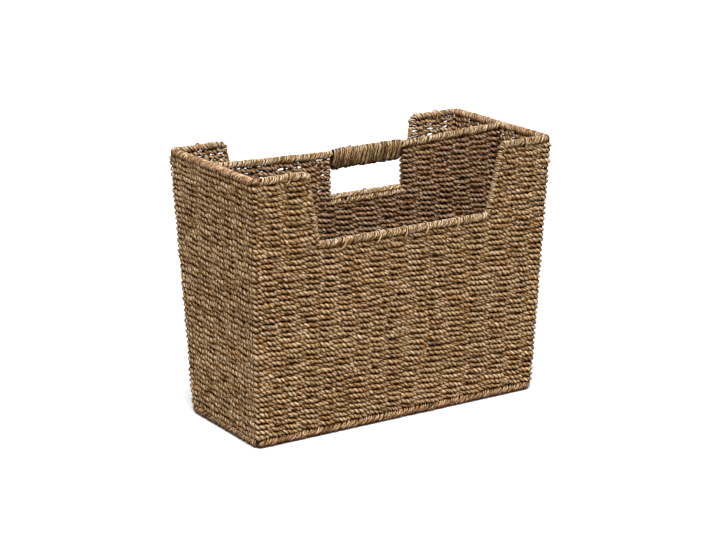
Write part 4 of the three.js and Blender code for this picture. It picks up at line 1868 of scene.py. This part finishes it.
def colour_group() -> bpy.types.NodeTree:
    """Node group that colours a cord's grass, with its grain and with painted shade and light.

    Returns:
        A group with the inputs Dark, Light, Red, Green, Streak, Blade, Groove, Crevice and Upward,
        and the output Color.
    """
    colours = [(name, "INPUT", "Color") for name in GRASS_COLOURS]
    masks = [(name, "INPUT", "Float") for name in FIBRE_MASKS]
    nodes = Nodes(new_group("Seagrass colour", (*colours, *masks, ("Color", "OUTPUT", "Color"))))
    entry = nodes.add("NodeGroupInput").outputs
    tone = nodes.add("ShaderNodeAttribute", "Tone", attribute_name="tone").outputs["Fac"]
    hue = nodes.add("ShaderNodeAttribute", "Hue", attribute_name="hue").outputs["Fac"]
    place = nodes.add("ShaderNodeTexCoord").outputs["Object"]
    patch = nodes.math("MULTIPLY_ADD", nodes.noise("Patches", place, PATCH_SCALE, 2.0), 1.0, -0.5)
    hue = nodes.math("ADD", hue, patch)
    blade = nodes.math("MULTIPLY_ADD", entry["Blade"], BLADE_CONTRAST, -BLADE_CONTRAST / 2)
    grass = nodes.mix(nodes.math("ADD", tone, blade, clamp=True), entry["Dark"], entry["Light"])
    for name, strength in (("Red", TINT_STRENGTH), ("Green", -TINT_STRENGTH)):
        grass = nodes.mix(nodes.math("MULTIPLY", hue, strength, clamp=True), grass, entry[name])
    brightness: float | Socket = 1.0
    for shade in SHADES:
        factor = nodes.ranged(shade.label, entry[shade.mask], shade.source, shade.target, shade.curve)
        brightness = nodes.math("MULTIPLY", brightness, factor)
    brightness = nodes.math("MINIMUM", brightness, BRIGHTEST)
    parts = {channel: nodes.math("POWER", brightness, power) for channel, power in enumerate(SHADE_WARMTH)}
    warm = nodes.add("ShaderNodeCombineColor", "Warmer in the shade", parts)
    nodes.add("NodeGroupOutput", inputs={"Color": nodes.mix(1.0, grass, warm.outputs[0], "MULTIPLY")})
    return nodes.tree


@dataclass(frozen=True)
class Paint:
    """A new material and the ways to fill it."""

    material: bpy.types.Material
    nodes: Nodes
    shader: bpy.types.Node


def new_paint(name: str, roughness: float, gloss: float) -> Paint:
    """Makes a material with a principled shader.

    Args:
        name: Name of the material.
        roughness: Roughness of the surface.
        gloss: Strength of its highlights.

    Returns:
        The material, its nodes and its shader.
    """
    material = bpy.data.materials.new(name)
    material.use_nodes = True
    shader = material.node_tree.nodes["Principled BSDF"]
    shader.inputs["Roughness"].default_value = roughness
    shader.inputs["Specular IOR Level"].default_value = gloss
    return Paint(material, Nodes(material.node_tree), shader)


class Finishes:
    """The materials, one for each slot."""

    def __init__(self) -> None:
        """Builds the node groups that the materials share."""
        self.fibres = fibre_group()
        self.colours = colour_group()

    def seagrass(self, finish: SeagrassFinish) -> bpy.types.Material:
        """Makes the material of dry seagrass cord.

        Args:
            finish: Its colours.

        Returns:
            The material.
        """
        paint = new_paint(finish.slot.value, finish.roughness, finish.gloss)
        relief = {"Relief": finish.relief}
        fibres = paint.nodes.add("ShaderNodeGroup", node_tree=self.fibres, inputs=relief).outputs
        inputs = {name: fibres[name] for name in FIBRE_MASKS}
        inputs.update(zip(GRASS_COLOURS, (finish.dark, finish.light, finish.red, finish.green)))
        colour = paint.nodes.add("ShaderNodeGroup", node_tree=self.colours, inputs=inputs)
        paint.nodes.put(colour.outputs["Color"], paint.shader.inputs["Base Color"])
        paint.nodes.put(fibres["Normal"], paint.shader.inputs["Normal"])
        return paint.material

    def wire(self, finish: WireFinish) -> bpy.types.Material:
        """Makes the material of painted wire, a little worn.

        Args:
            finish: Its colours.

        Returns:
            The material.
        """
        paint = new_paint(finish.slot.value, finish.roughness, finish.gloss)
        place = paint.nodes.add("ShaderNodeTexCoord").outputs["Object"]
        wear = paint.nodes.ranged("Wear", paint.nodes.noise("Wear", place, 140.0, 4.0), finish.wear)
        colour = paint.nodes.mix(wear, finish.paint, finish.worn)
        paint.nodes.put(colour, paint.shader.inputs["Base Color"])
        return paint.material


# Studio


def direction(azimuth: float, elevation: float) -> Vector:
    """Direction from the object to a lamp or camera.

    Args:
        azimuth: Angle round the object from the front, to the right.
        elevation: Angle over the floor.

    Returns:
        The direction, one long.
    """
    level = math.cos(elevation)
    return Vector((math.sin(azimuth) * level, -math.cos(azimuth) * level, math.sin(elevation)))


@dataclass(frozen=True)
class Studio:
    """White floor and backdrop, soft lamps and the camera of the photo.

    Attributes:
        ambient: Strength of the light from all round.
        key: Strength of the key light.
        key_spread: Angle that the key light comes from, in degrees.
        key_direction: Azimuth and elevation of the key light, in degrees.
        floor: Whiteness of the floor as it is seen.
        floor_bounce: Whiteness of the floor for the light that it throws back.
        floor_radius: Radius of the floor.
        lens: Focal length in millimetres.
        sensor: Width of the sensor in millimetres.
        azimuth: Azimuth of the camera, in degrees.
        elevation: Elevation of the camera, in degrees.
        roll: Roll of the camera, in degrees.
        position: Place of the camera.
    """

    ambient: float = 0.22
    key: float = 5.2
    key_spread: float = 50.0
    key_direction: tuple[float, float] = (-26.0, 66.0)
    floor: float = 0.96
    floor_bounce: float = 0.35
    floor_radius: float = 6.0
    lens: float = 110.5
    sensor: float = 36.0
    azimuth: float = -32.226
    elevation: float = 15.86
    roll: float = -0.46
    position: Point = (-1.25380, -1.97848, 0.81776)

    def build(self) -> None:
        """Adds the whole studio to the scene."""
        bpy.context.scene.view_settings.view_transform = "Standard"
        self._world()
        self._floor()
        self._lamp()
        self._camera()

    @staticmethod
    def _link(name: str, data: bpy.types.ID) -> bpy.types.Object:
        """Puts a mesh, lamp or camera in the scene.

        Args:
            name: Name of its object.
            data: The mesh, lamp or camera.

        Returns:
            Its object.
        """
        placed = bpy.data.objects.new(name, data)
        bpy.context.scene.collection.objects.link(placed)
        return placed

    def _world(self) -> None:
        """White background, with dimmer light on the object."""
        world = bpy.data.worlds.new("studio")
        bpy.context.scene.world = world
        world.use_nodes = True
        world.node_tree.nodes.clear()
        nodes = Nodes(world.node_tree)
        white = (1.0, 1.0, 1.0, 1.0)
        light = nodes.add("ShaderNodeBackground", "Light", {"Color": white, "Strength": self.ambient})
        backdrop = nodes.add("ShaderNodeBackground", "Backdrop", {"Color": white, "Strength": 1.0})
        either = {0: nodes.seen(), 1: light.outputs[0], 2: backdrop.outputs[0]}
        mixed = nodes.add("ShaderNodeMixShader", inputs=either)
        nodes.add("ShaderNodeOutputWorld", inputs={"Surface": mixed.outputs[0]})

    def _floor(self) -> None:
        """White floor that shows only soft shadows and throws little light back."""
        mesh = bpy.data.meshes.new("floor")
        shape = bmesh.new()
        bmesh.ops.create_circle(shape, cap_ends=True, segments=64, radius=self.floor_radius)
        shape.to_mesh(mesh)
        shape.free()
        floor = self._link("floor", mesh)
        paint = new_paint("floor", roughness=1.0, gloss=0.0)
        shade = paint.nodes.mix(paint.nodes.seen(), (self.floor_bounce,) * 3, (self.floor,) * 3)
        paint.nodes.put(shade, paint.shader.inputs["Base Color"])
        mesh.materials.append(paint.material)

    def _lamp(self) -> None:
        """Soft key light from the front, over the camera's left shoulder."""
        data = bpy.data.lights.new("key", "SUN")
        data.energy = self.key
        data.angle = math.radians(self.key_spread)
        lamp = self._link("key", data)
        back = direction(*(math.radians(angle) for angle in self.key_direction))
        lamp.rotation_mode = "QUATERNION"
        lamp.rotation_quaternion = (-back).to_track_quat("-Z", "Y")

    def _camera(self) -> None:
        """The photo's camera."""
        data = bpy.data.cameras.new("camera")
        data.lens = self.lens
        data.sensor_width = self.sensor
        camera = self._link("camera", data)
        azimuth, elevation, roll = (math.radians(a) for a in (self.azimuth, self.elevation, self.roll))
        back = direction(azimuth, elevation)
        right = Vector((math.cos(azimuth), math.sin(azimuth), 0.0))
        above = back.cross(right)
        across = math.cos(roll) * right + math.sin(roll) * above
        upwards = math.cos(roll) * above - math.sin(roll) * right
        turn = Matrix((across, upwards, back)).transposed().to_4x4()
        camera.matrix_world = Matrix.Translation(self.position) @ turn
        bpy.context.scene.camera = camera


# Assembly


@dataclass
class Assembly:
    """Puts the pieces on the frame.

    Attributes:
        materials: Material of each slot.
    """

    materials: dict[Slot, bpy.types.Material]

    def fit(self, bundle: CordBundle, slot: Slot, *nodes: str) -> None:
        """Builds a bundle and puts it in the place of CAD nodes.

        Args:
            bundle: The bundle.
            slot: Slot of its material.
            nodes: Names of the CAD nodes.
        """
        piece = bundle.build()
        piece.data.materials.clear()
        piece.data.materials.append(self.materials[slot])
        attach(piece, "root")
        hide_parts(*nodes)
        triangles = sum(len(p.vertices) - 2 for p in piece.data.polygons)
        log.info("%s: %d cords, %d triangles", piece.name, len(bundle.strands), triangles)


WALL_GRASS = SeagrassFinish(
    Slot.WALL,
    dark=(0.22, 0.14, 0.07),
    light=(0.88, 0.69, 0.46),
    red=(0.56, 0.34, 0.22),
    green=(0.44, 0.42, 0.22),
)
# Darker copy of the wall grass for the divider and the base inside the basket: painted shade.
INNER_GRASS = replace(
    WALL_GRASS, slot=Slot.INNER, dark=(0.15, 0.085, 0.045), light=(0.71, 0.53, 0.38), red=(0.42, 0.21, 0.13)
)
RIM_GRASS = replace(
    WALL_GRASS, slot=Slot.RIM, dark=(0.2, 0.13, 0.065), light=(0.84, 0.69, 0.5), red=(0.56, 0.35, 0.25)
)
END_RIM_GRASS = replace(
    WALL_GRASS, slot=Slot.END_RIM, dark=(0.2, 0.12, 0.06), light=(0.84, 0.65, 0.46), red=(0.56, 0.3, 0.2)
)
FOOT_GRASS = replace(
    WALL_GRASS, slot=Slot.FOOT, dark=(0.2, 0.12, 0.06), light=(0.7, 0.53, 0.36), red=(0.44, 0.25, 0.16)
)
HANDLE_GRASS = replace(
    WALL_GRASS, slot=Slot.HANDLE, dark=(0.12, 0.07, 0.035), light=(0.63, 0.48, 0.32), red=(0.34, 0.17, 0.1)
)
FINISHES = (WALL_GRASS, INNER_GRASS, RIM_GRASS, END_RIM_GRASS, FOOT_GRASS, HANDLE_GRASS)
WALL_NODES = ("front_wall_weave", "back_wall_weave", "left_end_weave", "right_end_weave")
SEED = 41


def main() -> None:
    """Builds the scene."""
    logging.basicConfig(level=logging.INFO, format="%(message)s")
    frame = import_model()
    size = BasketSize()
    rng = np.random.default_rng(SEED)
    finishes = Finishes()
    assembly = Assembly({finish.slot: finishes.seagrass(finish) for finish in FINISHES})
    wire = finishes.wire(WireFinish())
    for node in frame["nodes"].values():
        node.data.materials.clear()
        node.data.materials.append(wire)
    for bundle in WallWeave(size, rng).bands():
        assembly.fit(bundle, Slot.WALL, *WALL_NODES)
    for bundle in DividerWeave(size, rng).bundles():
        assembly.fit(bundle, Slot.INNER, "divider_weave")
    assembly.fit(BaseWeave(size, rng).bundle(), Slot.INNER, "base_weave")
    for piece in (*Borders(size, rng).pieces(), HandleWinding(size, rng).piece()):
        assembly.fit(piece.bundle, piece.slot, *piece.nodes)
    Studio().build()


if __name__ == "__main__":
    main()
